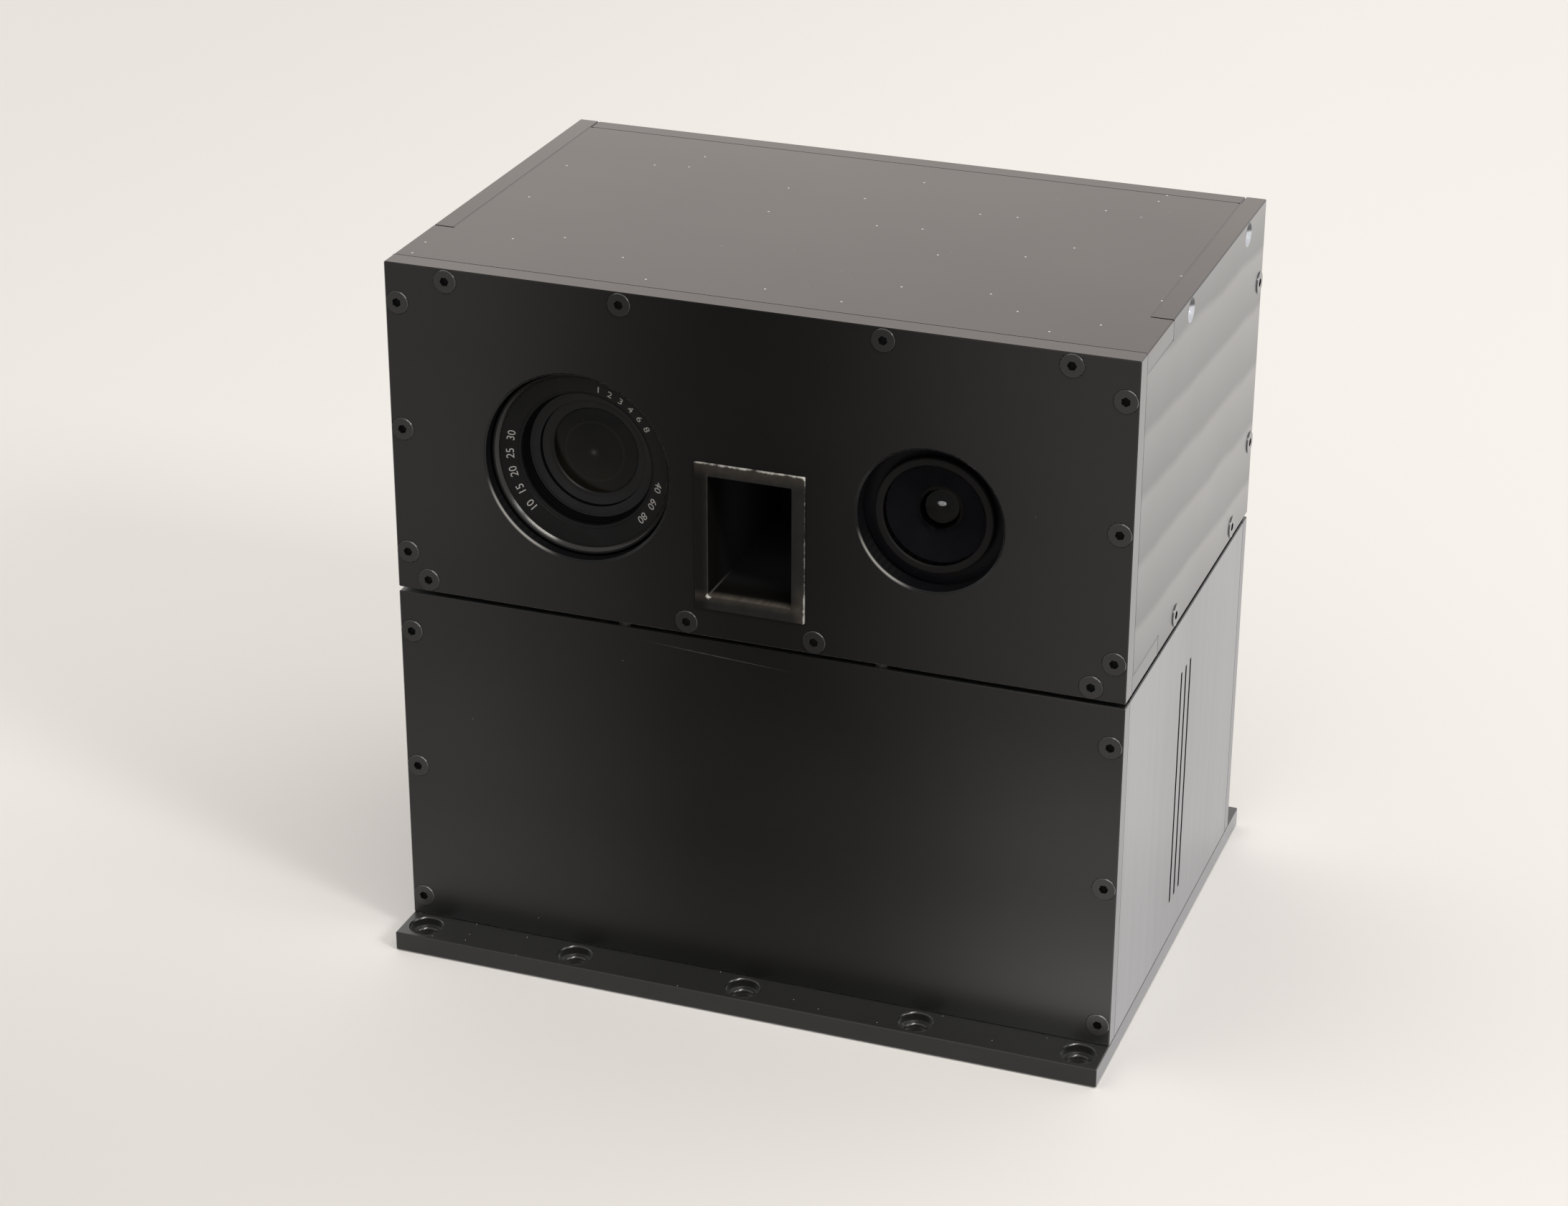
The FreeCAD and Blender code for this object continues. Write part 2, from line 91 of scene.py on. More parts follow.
# The stage: the lamps' places, the point that they face, and the camera's place and directions
AIM = Vector((0, 0, 0.11))
KEY_PLACE, KEY_SIZE = Vector((2.5, -1.1, 2.0)), (0.7, 0.7)
STRIP_PLACE, STRIP_SIZE = Vector((1.09, -1.20, 2.73)), (1.8, 0.35)
STRIP_ALONG = Vector((-0.912, 0.046, 0.409))
GLINT_PLACE, GLINT_SIZE = Vector((0.0505, -0.663, 0.2855)), (0.34, 0.18)
SMALL_GLINT_PLACE, SMALL_GLINT_SIZE = Vector((-0.164, -0.312, 0.050)), (0.012, 0.007)
EYE = Vector((0.33538, -0.95303, 0.57584))
SIGHT = Vector((-0.31296, 0.84889, -0.42597))
SIGHT_RIGHT = Vector((0.93789, 0.34692, 0.00228))


def middle(node):
    """Middle of a node's box."""
    low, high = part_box(node)
    return (low + high) / 2


def radius_of(node):
    """Radius of a round node."""
    low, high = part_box(node)
    return (high.x - low.x) / 2


def middle_line(node):
    """The point at zero depth on a round node's middle line."""
    centre = middle(node)
    return Vector((centre.x, 0, centre.z))


def amount(name, description, default, **limits):
    """A number that a user may change."""
    return FloatProperty(name=name, description=description, default=default, **limits)


def length(name, description, millimetres):
    """A length that a user may change."""
    return amount(name, description, millimetres * MM, unit="LENGTH")


def share(name, description, default):
    """A share from nothing to all."""
    return amount(name, description, default, min=0, max=1, subtype="FACTOR")


def colour(name, description, default):
    """A colour that a user may change."""
    return FloatVectorProperty(name=name, description=description, default=default, min=0, max=1,
                               size=3, subtype="COLOR")


class PlateSettings(bpy.types.PropertyGroup):
    """Looks of the black anodised plates."""
    tone: colour("Plate tone", "Colour of the anodised plates", (0.0066, 0.0064, 0.0064))
    base_tone: colour("Base plate tone", "Colour of the base plate", (0.0085, 0.0083, 0.0082))
    # The four sheen colours are a painted reflection: one anodised finish is given a different sheen tint on its top,
    # upper sides, lower sides and front, after how the light falls on each face.
    painted_top_sheen: colour("Top sheen", "Colour of light that glances off the top plate", (0.869, 0.810, 0.786))
    painted_upper_sheen: colour("Upper side sheen", "Colour of light that glances off the upper sides", (0.803, 0.819, 0.848))
    painted_lower_sheen: colour("Lower side sheen", "Colour of light that glances off the lower sides", (0.830, 0.850, 0.900))
    front_sheen: colour("Front sheen", "Colour of light that glances off the covers", (0.95, 0.96, 0.97))
    roughness: share("Roughness", "Roughness of the plates' sheen", 0.34)
    straight_sheen: share("Straight sheen", "Share of light mirrored when seen straight on", 0.030)
    glancing_sheen: amount("Glancing sheen", "Share of light mirrored along the plate", 1.06, min=0, max=2)
    sheen_power: amount("Sheen power", "How fast the sheen grows towards grazing sight", 3.2, min=1, max=6)
    edge_sheen: share("Edge sheen", "Share of light mirrored by polished edges, beyond the plate's own", 0.012)
    edge_polish: share("Edge polish", "How much less rough the polished edges are", 0.26)
    band_share: share("Band share", "How much the milling bands vary the sheen", 0.24)
    streak_share: share("Streak share", "How much the upright streaks vary the sheen", 0.12)
    # The dust tone also colours the painted highlights at the round windows.
    dust_and_highlight_tone: colour("Dust tone", "Colour of dust and chips", (0.62, 0.60, 0.57))
    band_pitch: length("Band pitch", "Height of one milling band on the upper sides", 19.5)
    ear_length: length("Ear length", "Length of the ears at the upper plates' front corners", 27.4)
    notch_gap: length("Notch gap", "Width of the joint behind an ear", 0.4)
    fill_sink: length("Fill sink", "How far a joint's filling lies below the faces beside it", 0.03)


class ScrewSettings(bpy.types.PropertyGroup):
    """Sizes and places of the countersunk screws."""
    head_diameter: length("Head diameter", "Width of a front screw's head", 7.6)
    side_head_diameter: length("Side head diameter", "Width of a side screw's head", 7.4)
    shank_diameter: length("Shank diameter", "Width of the screw's shank", 4.0)
    shank_length: length("Shank length", "Length of the shank below the head", 5.0)
    socket_width: length("Socket width", "Width of the hexagon socket across its flats", 2.5)
    socket_depth: length("Socket depth", "Depth of the hexagon socket", 0.9)
    rim_land: length("Rim land", "Height of the upright rim of the head", 0.45)
    rim_break: length("Rim break", "Width of the chamfer round the head", 0.42)
    proud: length("Proud", "How far the head stands above the plate", 0.38)
    edge_inset: length("Edge inset", "Distance of a screw from the plate's edge", 3.8)
    side_inset: length("Side inset", "Distance of a side row from the plate's edge", 4.1)
    top_row_inner: length("Top row, inner", "Distance of the top row's inner screws from the middle", 39.5)
    top_row_from_side: length("Top row, outer", "Distance of the top row's outer screws from the side", 19.3)
    bottom_row_inner: length("Bottom row, inner", "Distance of the bottom row's inner screws from the middle", 19.8)
    bottom_row_from_side: length("Bottom row, outer", "Distance of the bottom row's outer screws from the side", 10.2)
    upper_pitch: length("Upper pitch", "Pitch of the upper cover's side screws", 39.6)
    lower_pitch: length("Lower pitch", "Pitch of the lower covers' side screws", 45.9)
    back_pitch: length("Back pitch", "Pitch of the side plates' back screws", 52.7)
    side_row_start: length("Side row start", "Distance of a side row's first screw behind the front face", 54.0)
    side_row_pitch: length("Side row pitch", "Pitch of a side row's screws", 68.0)
    tone: colour("Screw tone", "Colour of the blackened screws", (0.0125, 0.0120, 0.0112))
    head_shine: amount("Head shine", "Straight sheen of the heads' faces, beyond the covers'", 0.12, min=0, max=10)
    rim_shine: amount("Rim shine", "Straight sheen of the heads' worn rims, beyond the covers'", 2.2, min=0, max=10)


class HoleSettings(bpy.types.PropertyGroup):
    """Sizes and places of the flanges' counterbores and the bare countersinks."""
    counterbore_diameter: length("Counterbore diameter", "Width of a flange hole's counterbore", 11.0)
    counterbore_depth: length("Counterbore depth", "Depth of a flange hole's counterbore", 3.2)
    hole_diameter: length("Hole diameter", "Width of a flange hole", 6.6)
    flange_top: length("Flange top", "Height of the flanges' top face", 6.2)
    from_edge: length("From edge", "Distance of the holes from the flange's edge", 6.9)
    inner_from_side: length("Inner from side", "Distance of the inner holes from the side", 57.8)
    outer_from_side: length("Outer from side", "Distance of the outer holes from the side", 7.5)
    countersink_diameter: length("Countersink diameter", "Width of a bare countersink", 7.2)
    tapped_diameter: length("Tapped diameter", "Width of the hole under a bare countersink", 4.4)
    bare_tone: colour("Bare tone", "Colour of the bare countersinks", (0.62, 0.65, 0.70))


class ZoomLensSettings(bpy.types.PropertyGroup):
    """Sizes and looks of the zoom lens."""
    rim_width: length("Rim width", "Width of the barrel's raised rim", 2.1)
    neck_radius: length("Neck radius", "Radius of the barrel's neck", 24.0)
    sleeve_length: length("Sleeve length", "Length of the barrel's wide sleeve", 24.8)
    mouth_radius: length("Mouth radius", "Inner radius of the sloping ring", 20.7)
    slope: length("Slope", "How far the ring's inner edge lies behind its outer edge", 2.0)
    ledge_radius: length("Ledge radius", "Radius where the mouth's wall meets the ledge", 19.5)
    ledge_drop: length("Ledge drop", "Distance of the ledge behind the ring's inner edge", 4.8)
    throat_radius: length("Throat radius", "Radius where the ledge meets the throat", 16.8)
    throat_drop: length("Throat drop", "Distance of the throat behind the ring's inner edge", 6.7)
    glass_crown: length("Glass crown", "Height of the glass's dome", 1.6)
    mark_height: length("Mark height", "Height of the numbers on the ring", 3.4)
    mark_tone: colour("Mark tone", "Colour of the numbers", (0.22, 0.215, 0.205))
    glass_tone: colour("Glass tone", "Colour of the coated glass", (0.0024, 0.0024, 0.0026))
    # The lower half's colour is a painted reflection in the zoom lens's glass.
    painted_reflection_tone: colour("Low glass tone", "Colour of the coated glass's lower half", (0.0066, 0.0058, 0.0044))


class WideLensSettings(bpy.types.PropertyGroup):
    """Sizes and looks of the wide lens."""
    glass_crown: length("Glass crown", "Height of the front glass's dome", 0.9)
    element_crown: length("Element crown", "Height of the inner element's dome", 3.2)
    element_drop: length("Element drop", "Distance of the inner element's rim behind the ring's face", 6.4)
    ring_tone: colour("Ring tone", "Colour of the flat ring", (0.0062, 0.0060, 0.0061))
    glass_tone: colour("Glass tone", "Colour of the coated glass", (0.0, 0.0, 0.0))
    # The cone's lighter bluish tone stands in for the front glass's reflection: a painted reflection.
    cone_tone_and_glass_reflection: colour("Cone tone", "Colour of the ribbed cone behind the glass", (0.038, 0.037, 0.045))


class TubeSettings(bpy.types.PropertyGroup):
    """Sizes and looks of the rectangular aperture tube."""
    wall: length("Wall", "Thickness of the tube's wall", 4.2)
    edge_round: length("Edge rounding", "Rounding of the tube's edges", 0.45)
    tone: colour("Paint tone", "Colour of the tube's paint", (0.0105, 0.0100, 0.0095))
    halo_tone: colour("Halo tone", "Colour of the rubbed paint beside the worn edges", (0.042, 0.037, 0.031))
    metal_tone: colour("Metal tone", "Colour of the bare metal where the paint is worn", (0.42, 0.41, 0.39))


class StageSettings(bpy.types.PropertyGroup):
    """Floor, lamps and camera."""
    floor_radius: amount("Floor radius", "Radius of the floor", 7.0, unit="LENGTH")
    floor_tone: colour("Floor tone", "Colour of the floor", (0.84, 0.815, 0.785))
    sky_tone: colour("Sky tone", "Colour of the light from all round", (1.0, 0.975, 0.95))
    sky_strength: amount("Sky strength", "Strength of the light from all round", 0.89)
    key_power: amount("Key power", "Power of the large lamp", 28, unit="POWER")
    strip_power: amount("Strip power", "Power of the long lamp", 50, unit="POWER")
    glint_power: amount("Glint power", "Power of the wide lens's lamp", 3.5, unit="POWER")
    small_glint_power: amount("Small glint power", "Power of the zoom lens's lamp", 0.003, precision=4, unit="POWER")
    strip_tone: colour("Strip tone", "Colour of the long lamp", (1.0, 0.96, 0.89))
    focal_length: amount("Focal length", "Focal length of the camera", 82.62, unit="CAMERA")


# Modelling by hand: primitives shaped in edit mode

def deselect_all():
    """Leaves nothing selected."""
    bpy.ops.object.select_all(action="DESELECT")


def activate(piece):
    """Makes a piece the only selected and active one."""
    deselect_all()
    piece.select_set(True)
    bpy.context.view_layer.objects.active = piece


def delete(piece):
    """Takes a piece out of the scene."""
    activate(piece)
    bpy.ops.object.delete()


def apply_place():
    """Puts the selected pieces' places in their meshes."""
    bpy.ops.object.transform_apply(location=True, rotation=True, scale=True)


def pick(piece, kind, test):
    """Selects the vertices, edges or faces that pass a test, in edit mode."""
    bpy.ops.mesh.select_mode(type={"verts": "VERT", "edges": "EDGE", "faces": "FACE"}[kind])
    bpy.ops.mesh.select_all(action="DESELECT")
    mesh = bmesh.from_edit_mesh(piece.data)
    for part in getattr(mesh, kind):
        if test(part):
            part.select_set(True)
    mesh.select_flush_mode()
    bmesh.update_edit_mesh(piece.data)


def apply_modifiers(piece):
    """Makes a piece's modifiers part of its mesh."""
    activate(piece)
    for modifier in list(piece.modifiers):
        bpy.ops.object.modifier_apply(modifier=modifier.name)


def block(name, centre, size):
    """A block, to be shaped further."""
    deselect_all()
    bpy.ops.mesh.primitive_cube_add(size=1, location=centre, scale=size)
    piece = bpy.context.object
    piece.name = name
    apply_place()
    return piece


def turn(name, outline, axis, steps, rounding=0):
    """Draws an outline of radius and distance back, and spins it about a line along Y."""
    deselect_all()
    points = [axis + X_AXIS * radius + Y_AXIS * back for radius, back in outline]
    closed = points[0] == points[-1]
    bpy.ops.mesh.primitive_plane_add(size=MM, location=points[0])
    piece = bpy.context.object
    piece.name = name
    bpy.ops.object.mode_set(mode="EDIT")
    bpy.ops.mesh.select_mode(type="VERT")
    bpy.ops.mesh.merge(type="CENTER")
    for near, far in zip(points, points[1:]):
        bpy.ops.mesh.extrude_vertices_move(TRANSFORM_OT_translate={"value": far - near})
    bpy.ops.mesh.select_all(action="SELECT")
    if closed:
        bpy.ops.mesh.remove_doubles(threshold=MERGE_DISTANCE)
    if rounding:
        bpy.ops.mesh.bevel(offset=rounding, segments=ROUNDING_STEPS, affect="VERTICES")
        bpy.ops.mesh.select_all(action="SELECT")
    bpy.ops.mesh.spin(steps=steps, angle=2 * math.pi, center=axis, axis=Y_AXIS)
    bpy.ops.mesh.select_all(action="SELECT")
    bpy.ops.mesh.remove_doubles(threshold=MERGE_DISTANCE)
    bpy.ops.mesh.normals_make_consistent(inside=False)
    bpy.ops.object.mode_set(mode="OBJECT")
    apply_place()
    return piece


def dome(radius, crown, front, back, steps=14):
    """Outline of a round glass from its dome's top, over its rim, to its back."""
    curve = (radius * radius + crown * crown) / (2 * crown)
    reach = math.asin(min(radius / curve, 1))
    top = [(curve * math.sin(reach * step / steps), front + curve * (1 - math.cos(reach * step / steps)))
           for step in range(steps + 1)]
    return top + [(radius, back), (0, back)]


def finish_piece(piece, material, replaced=(), smooth_angle=SMOOTH_ANGLE):
    """Puts a piece's place in its mesh, and gives it its finish and body."""
    activate(piece)
    apply_place()
    bpy.ops.object.shade_smooth_by_angle(angle=smooth_angle)
    piece.data.materials.clear()
    piece.data.materials.append(material)
    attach(piece, BODY)
    if replaced:
        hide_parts(*replaced)
    return piece


def turned_part(name, outline, axis, rounding, material, node):
    """Turns a lens's part that stands for a node, and finishes it."""
    finish_piece(turn(name, outline, axis, TURNED_STEPS, rounding), material, [node])


def turned_glass(name, outline, axis, steps, material, node):
    """Turns a glass that stands for a node, and finishes it."""
    finish_piece(turn(name, outline, axis, steps), material, [node], GLASS_SMOOTH_ANGLE)


def placed_copy(piece, name, place):
    """A copy of a piece with its own mesh, moved to a place."""
    activate(piece)
    bpy.ops.object.duplicate(linked=False)
    copy = bpy.context.object
    copy.name = name
    copy.matrix_world = place
    return copy


def facing(outward, turned=0):
    """The turn that points a piece's Z axis outward, after a turn about that axis."""
    return (Z_AXIS.rotation_difference(outward) @ Quaternion(Z_AXIS, turned)).to_matrix().to_4x4()


# Finishes: shader nodes written as sums

class Level:
    """A number that varies over a surface. Sums on it add Math nodes."""

    def __init__(self, finish, socket):
        self.finish = finish
        self.socket = socket

    def __add__(self, other):
        return self.finish.math("ADD", self, other)

    def __sub__(self, other):
        return self.finish.math("SUBTRACT", self, other)

    def __rsub__(self, other):
        return self.finish.math("SUBTRACT", other, self)

    def __mul__(self, other):
        return self.finish.math("MULTIPLY", self, other)

    def __truediv__(self, other):
        return self.finish.math("DIVIDE", self, other)

    def __pow__(self, other):
        return self.finish.math("POWER", self, other)

    def __abs__(self):
        return self.finish.math("ABSOLUTE", self)

    __radd__ = __add__
    __rmul__ = __mul__


class Finish:
    """A procedural material in the making."""

    def __init__(self, name):
        self.material = bpy.data.materials.new(name)
        self.material.use_nodes = True
        self.tree = self.material.node_tree
        self.tree.nodes.clear()
        self.place = self.node("ShaderNodeTexCoord").outputs["Object"]
        parts = self.node("ShaderNodeSeparateXYZ", inputs={"Vector": self.place}).outputs
        self.x, self.y, self.z = (Level(self, parts[axis]) for axis in "XYZ")

    def node(self, kind, settings=None, inputs=None):
        """Adds a node, with its settings, then the values or links of its sockets."""
        node = self.tree.nodes.new(kind)
        for name, value in (settings or {}).items():
            setattr(node, name, value)
        for name, value in (inputs or {}).items():
            socket = next(s for s in node.inputs if name in (s.identifier, s.name))
            value = value.socket if isinstance(value, Level) else value
            if isinstance(value, bpy.types.NodeSocket):
                self.tree.links.new(value, socket)
            else:
                socket.default_value = value
        return node

    def math(self, operation, *values):
        """A Math node on one or two numbers or levels."""
        node = self.node("ShaderNodeMath", {"operation": operation}, dict(zip(("Value", "Value_001"), values)))
        return Level(self, node.outputs["Value"])

    def distance(self, across, along):
        """The straight distance that two distances at right angles make."""
        return self.math("SQRT", across * across + along * along)

    def rise(self, level, low, high):
        """Nothing below low, all above high, and smooth between."""
        node = self.node("ShaderNodeMapRange", {"interpolation_type": "SMOOTHSTEP"},
                         {"Value": level, "From Min": low, "From Max": high})
        return Level(self, node.outputs["Result"])

    def near(self, level, place, reach):
        """All at a place, and nothing beyond its reach."""
        return 1 - self.rise(abs(level - place), 0, reach)

    def stretched(self, sizes):
        """The place, scaled along each axis."""
        node = self.node("ShaderNodeVectorMath", {"operation": "MULTIPLY"},
                         {"Vector": self.place, "Vector_001": sizes})
        return node.outputs["Vector"]

    def noise(self, size, detail=2, sizes=None):
        """Soft noise with features of the given size."""
        place = self.stretched(sizes) if sizes else self.place
        node = self.node("ShaderNodeTexNoise", inputs={"Vector": place, "Scale": 1 / size, "Detail": detail})
        return Level(self, node.outputs["Fac"])

    def specks(self, pitch, radius, amount, flat=False):
        """Small round dots at random places, as many as the amount says. Flat ones lie on level faces."""
        node = self.node("ShaderNodeTexVoronoi", {"voronoi_dimensions": "2D" if flat else "3D"},
                         {"Vector": self.place, "Scale": 1 / pitch})
        parts = self.node("ShaderNodeSeparateColor", inputs={"Color": node.outputs["Color"]}).outputs
        full_radius, least = 0.4 * radius, 1 - amount
        here = 1 - self.rise(Level(self, node.outputs["Distance"]), full_radius / pitch, radius / pitch)
        return here * self.rise(Level(self, parts["Red"]), least, least + 0.02)

    def turned_away(self, normal):
        """How far a surface turns away from sight, from nothing straight on to all along it."""
        node = self.node("ShaderNodeLayerWeight", inputs={"Blend": 0.5, "Normal": normal})
        return Level(self, node.outputs["Facing"])

    def mix(self, level, first, second):
        """A colour between two colours. Below nothing and above all, the level is cut off."""
        first, second = (c if isinstance(c, bpy.types.NodeSocket) else (*c, 1) for c in (first, second))
        node = self.node("ShaderNodeMix", {"data_type": "RGBA", "clamp_factor": True},
                         {"Factor_Float": level, "A_Color": first, "B_Color": second})
        return next(s for s in node.outputs if s.identifier == "Result_Color")

    def blend(self, level, first, second):
        """A shader between two shaders."""
        node = self.node("ShaderNodeMixShader", inputs={"Fac": level, "Shader": first, "Shader_001": second})
        return node.outputs["Shader"]

    def bump(self, height, depth):
        """A normal roughened by a height, whose full range is the given depth."""
        node = self.node("ShaderNodeBump", inputs={"Height": height, "Distance": depth, "Strength": 1.0})
        return node.outputs["Normal"]

    def surface(self, **sockets):
        """A Principled shader, with names' underscores standing for spaces."""
        inputs = {name.replace("_", " "): value for name, value in sockets.items()}
        return self.node("ShaderNodeBsdfPrincipled", inputs=inputs).outputs["BSDF"]

    def close(self, shader):
        """Joins the shader to the output and gives the material."""
        self.node("ShaderNodeOutputMaterial", inputs={"Surface": shader})
        return self.material


def scaled(tone, factor):
    """A colour made lighter or darker."""
    return tuple(part * factor for part in tone)


def grey(level):
    """A colour with equal parts."""
    return (level,) * 3


def at_face(finish, level, place):
    """All on a face at a place along an axis, and nothing just below it."""
    return finish.rise(level, place - 0.05 * MM, place - 0.01 * MM)


def from_axis(finish, axis):
    """Distance from a lens's middle line."""
    return finish.distance(finish.x - axis.x, finish.z - axis.z)


def glass_dust(finish):
    """A few fine specks on a lens's glass."""
    return finish.specks(2.2 * MM, 0.07 * MM, 0.2)


def turning_lines(finish, axis, pitch):
    """Fine rings left by turning."""
    return finish.math("SINE", (from_axis(finish, axis) + finish.y * 0.7) * (2 * math.pi / pitch))


def plate_finish(name, tone, sheen_tone=None, straight_and_painted_sheen=None, dust=0.1, marks=None, sheen_pattern=None,
                 polish=None, dark=None):
    """Black anodised plate: a dark ground under a sheen that grows towards grazing sight. The straight share,
    which on the covers is a painted reflection, varies the sheen seen straight on, and a pattern all of it.
    Marks, real ones and painted highlights, take the dust's tone, polish smooths, and dark is painted shade
    that takes the sheen away."""
    settings = bpy.context.scene.camera_unit_plates
    finish = Finish(name)
    grain = finish.noise(0.5 * MM, detail=3)
    patches = finish.noise(60 * MM, detail=3)
    light = finish.specks(5 * MM, 0.16 * MM, dust)
    if marks:
        light = light + marks(finish)
    ground = finish.mix(patches, scaled(tone, 0.8), scaled(tone, 1.25))
    ground = finish.mix(light, ground, settings.dust_and_highlight_tone)
    roughness = settings.roughness + (grain - 0.5) * 0.10 + (patches - 0.5) * 0.06
    normal = finish.bump(grain, METAL_GRAIN_DEPTH)
    straight = (straight_and_painted_sheen(finish) if straight_and_painted_sheen else 0.3) * settings.straight_sheen
    sheen_share = finish.turned_away(normal) ** settings.sheen_power * settings.glancing_sheen + straight
    sheen_share = sheen_share * (1 + (patches - 0.5) * 0.08)
    if sheen_pattern:
        sheen_share = sheen_share * sheen_pattern(finish)
    if polish:
        polished = polish(finish)
        roughness = roughness - polished * settings.edge_polish
        sheen_share = sheen_share + polished * settings.edge_sheen
    if dark:
        shade = dark(finish)
        sheen_share = sheen_share * (1 - shade * 0.97)
        ground = finish.mix(shade, ground, UNLIT_BLACK)
    base = finish.surface(Base_Color=ground, Roughness=0.6, Specular_IOR_Level=0.0, Normal=normal)
    sheen = finish.surface(Base_Color=painted_face_sheen(finish, sheen_tone or settings.front_sheen), Metallic=1.0,
                           Roughness=roughness, Normal=normal)
    return finish.close(finish.blend(finish.math("MINIMUM", sheen_share, 1.0), base, sheen))


def painted_face_sheen(finish, sheen_tone):
    """The sheen's colour, a painted reflection tint per face: the top's on the upper module's top, the side's on its
    sides, else the given one.
    """
    settings = bpy.context.scene.camera_unit_plates
    on_top = at_face(finish, finish.z, cad_box[1].z)
    on_side = at_face(finish, abs(finish.x), cad_box[1].x)
    low_side = finish.rise(finish.z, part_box("upper_front_cover")[0].z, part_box("lower_front_cover")[1].z)
    side_tone = finish.mix(low_side, settings.painted_upper_sheen, settings.painted_lower_sheen)
    return finish.mix(on_top, finish.mix(on_side, sheen_tone, side_tone), settings.painted_top_sheen)


def round_windows(finish):
    """Each round window's middle and radius, and the distance from its middle line."""
    return [(middle(node), radius, from_axis(finish, middle(node))) for node, radius in WINDOWS]


def window_edges(finish):
    """The polished chamfers round the two round windows."""
    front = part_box("upper_front_cover")[0].y
    edges = sum(finish.near(away, radius + 0.35 * MM, 0.45 * MM) for _, radius, away in round_windows(finish))
    return edges * finish.rise(finish.y, front + 0.9 * MM, front + 0.6 * MM) * 0.5


def painted_window_highlight(finish):
    """Painted highlights: light arcs painted at the lower left edges of the two round windows, where the lamp's
    highlight falls.
    """
    arcs = []
    for centre, radius, away in round_windows(finish):
        edge = radius + 0.3 * MM
        down_left = (centre.x + centre.z - finish.x - finish.z) / edge
        arcs.append(finish.near(away, edge, 0.4 * MM) * finish.rise(down_left, 1.18, 1.40))
    return sum(arcs) * 0.4


def painted_window_shade(finish):
    """Painted shade on the walls of the two round windows, which lose all their sheen, and on their edges, which lose
    some.
    """
    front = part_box("upper_front_cover")[0].y
    inside = sum(finish.rise(away, radius + 0.9 * MM, radius + 0.5 * MM) for _, radius, away in round_windows(finish))
    walls = inside * finish.rise(finish.y, front + 0.6 * MM, front + 0.9 * MM)
    return finish.math("MAXIMUM", walls, window_edges(finish))


def dust_motes(finish, height, pitch, radius):
    """A few larger grains of dust on a level face."""
    return finish.specks(pitch, radius, 0.2, flat=True) * at_face(finish, finish.z, height)


def painted_front_reflection(finish):
    """Painted reflection on the front covers: the sheen seen straight on is set by place, faint in the middle,
    stronger towards the sides and the bottom right.
    """
    half = cad_box[1].x
    seam, half_way, foot = 117 * MM, 60 * MM, 10 * MM
    side = finish.rise(abs(finish.x), 0, half)
    right = finish.rise(finish.x, 10 * MM, half)
    low = finish.rise(finish.z, seam, half_way)
    bottom = finish.rise(finish.z, half_way, foot)
    painted_light_drift = (finish.noise(45 * MM) - 0.5) * 0.12
    at_side = right * (low * 0.44 + bottom * 1.1 + 0.10) + low * 0.1 + 0.82
    return side * at_side + low * 0.14 + bottom * 0.28 + painted_light_drift


def milling_bands(finish):
    """Saw-toothed bands across the upper side plates' height, which slant down towards the back."""
    settings = bpy.context.scene.camera_unit_plates
    pitch = settings.band_pitch
    slant_run = 14 * pitch
    wobble = (finish.noise(40 * MM) - 0.5) * 0.3
    saw = finish.math("FRACT", finish.z / pitch + finish.y / slant_run + wobble)
    soft = saw * finish.rise(saw, 1.0, 0.8)
    return 1 + (soft - 0.4) * settings.band_share


def upright_streaks_and_painted_sheen(finish):
    """Faint upright streaks on the lower side plates, with a painted sheen that grows towards the front."""
    settings = bpy.context.scene.camera_unit_plates
    streaks = (finish.noise(1.0, sizes=(40, 300, 6)) - 0.5) * settings.streak_share
    painted_front_sheen = finish.rise(finish.y, 10 * MM, -60 * MM) * 0.13
    return 1.1 + streaks + painted_front_sheen


def scratch(finish):
    """One thin, nearly level scratch on the lower front cover."""
    middle_x, middle_z, half_length, slope = -10 * MM, 113 * MM, 27 * MM, 0.052
    line = finish.z - middle_z + (finish.x - middle_x) * slope
    along = finish.near(finish.x, middle_x, half_length)
    return finish.near(line, 0.0, 0.15 * MM) * along * finish.noise(2 * MM) * 0.18


def grained_finish(name, grain_size, dark_tone, light_tone, roughness, spread, patch_size=None, depth=0, detail=3,
                   **sockets):
    """A fine-grained finish between two tones, which the grain also makes rougher, up to a spread."""
    finish = Finish(name)
    grain = finish.noise(grain_size, detail)
    tone = finish.mix(finish.noise(patch_size) if patch_size else grain, dark_tone, light_tone)
    if depth:
        sockets["Normal"] = finish.bump(grain, depth)
    return finish.close(finish.surface(Base_Color=tone, Roughness=roughness + grain * spread, **sockets))


def lens_black_finish(name, axis, tone=LENS_BLACK, gloss=0.08, second=None):
    """Satin black with fine turning marks and a little dust. A second part, given by a mask, a tone, a gloss
    and a roughness, is finished in its own way."""
    finish = Finish(name)
    grain = finish.noise(0.35 * MM, detail=3)
    dots = finish.specks(1.6 * MM, 0.09 * MM, 0.2)
    ground = finish.mix(finish.noise(8 * MM), scaled(tone, 0.7), scaled(tone, 1.3))
    ground = finish.mix(dots, ground, (0.16, 0.155, 0.15))
    normal = finish.bump(turning_lines(finish, axis, 0.22 * MM) * 0.3 + grain, 0.005 * MM)
    shader = finish.surface(Base_Color=ground, Roughness=0.30 + grain * 0.12, Specular_IOR_Level=gloss,
                            Normal=normal)
    if second:
        mask, second_tone, second_gloss, roughness = second
        second_ground = finish.mix(grain, scaled(second_tone, 0.8), scaled(second_tone, 1.2))
        other = finish.surface(Base_Color=second_ground, Roughness=roughness + grain * 0.08,
                               Specular_IOR_Level=second_gloss, Normal=finish.bump(grain, 0.0008 * MM))
        shader = finish.blend(mask(finish), shader, other)
    return finish.close(shader)


# Operators: one for each piece or group of like pieces

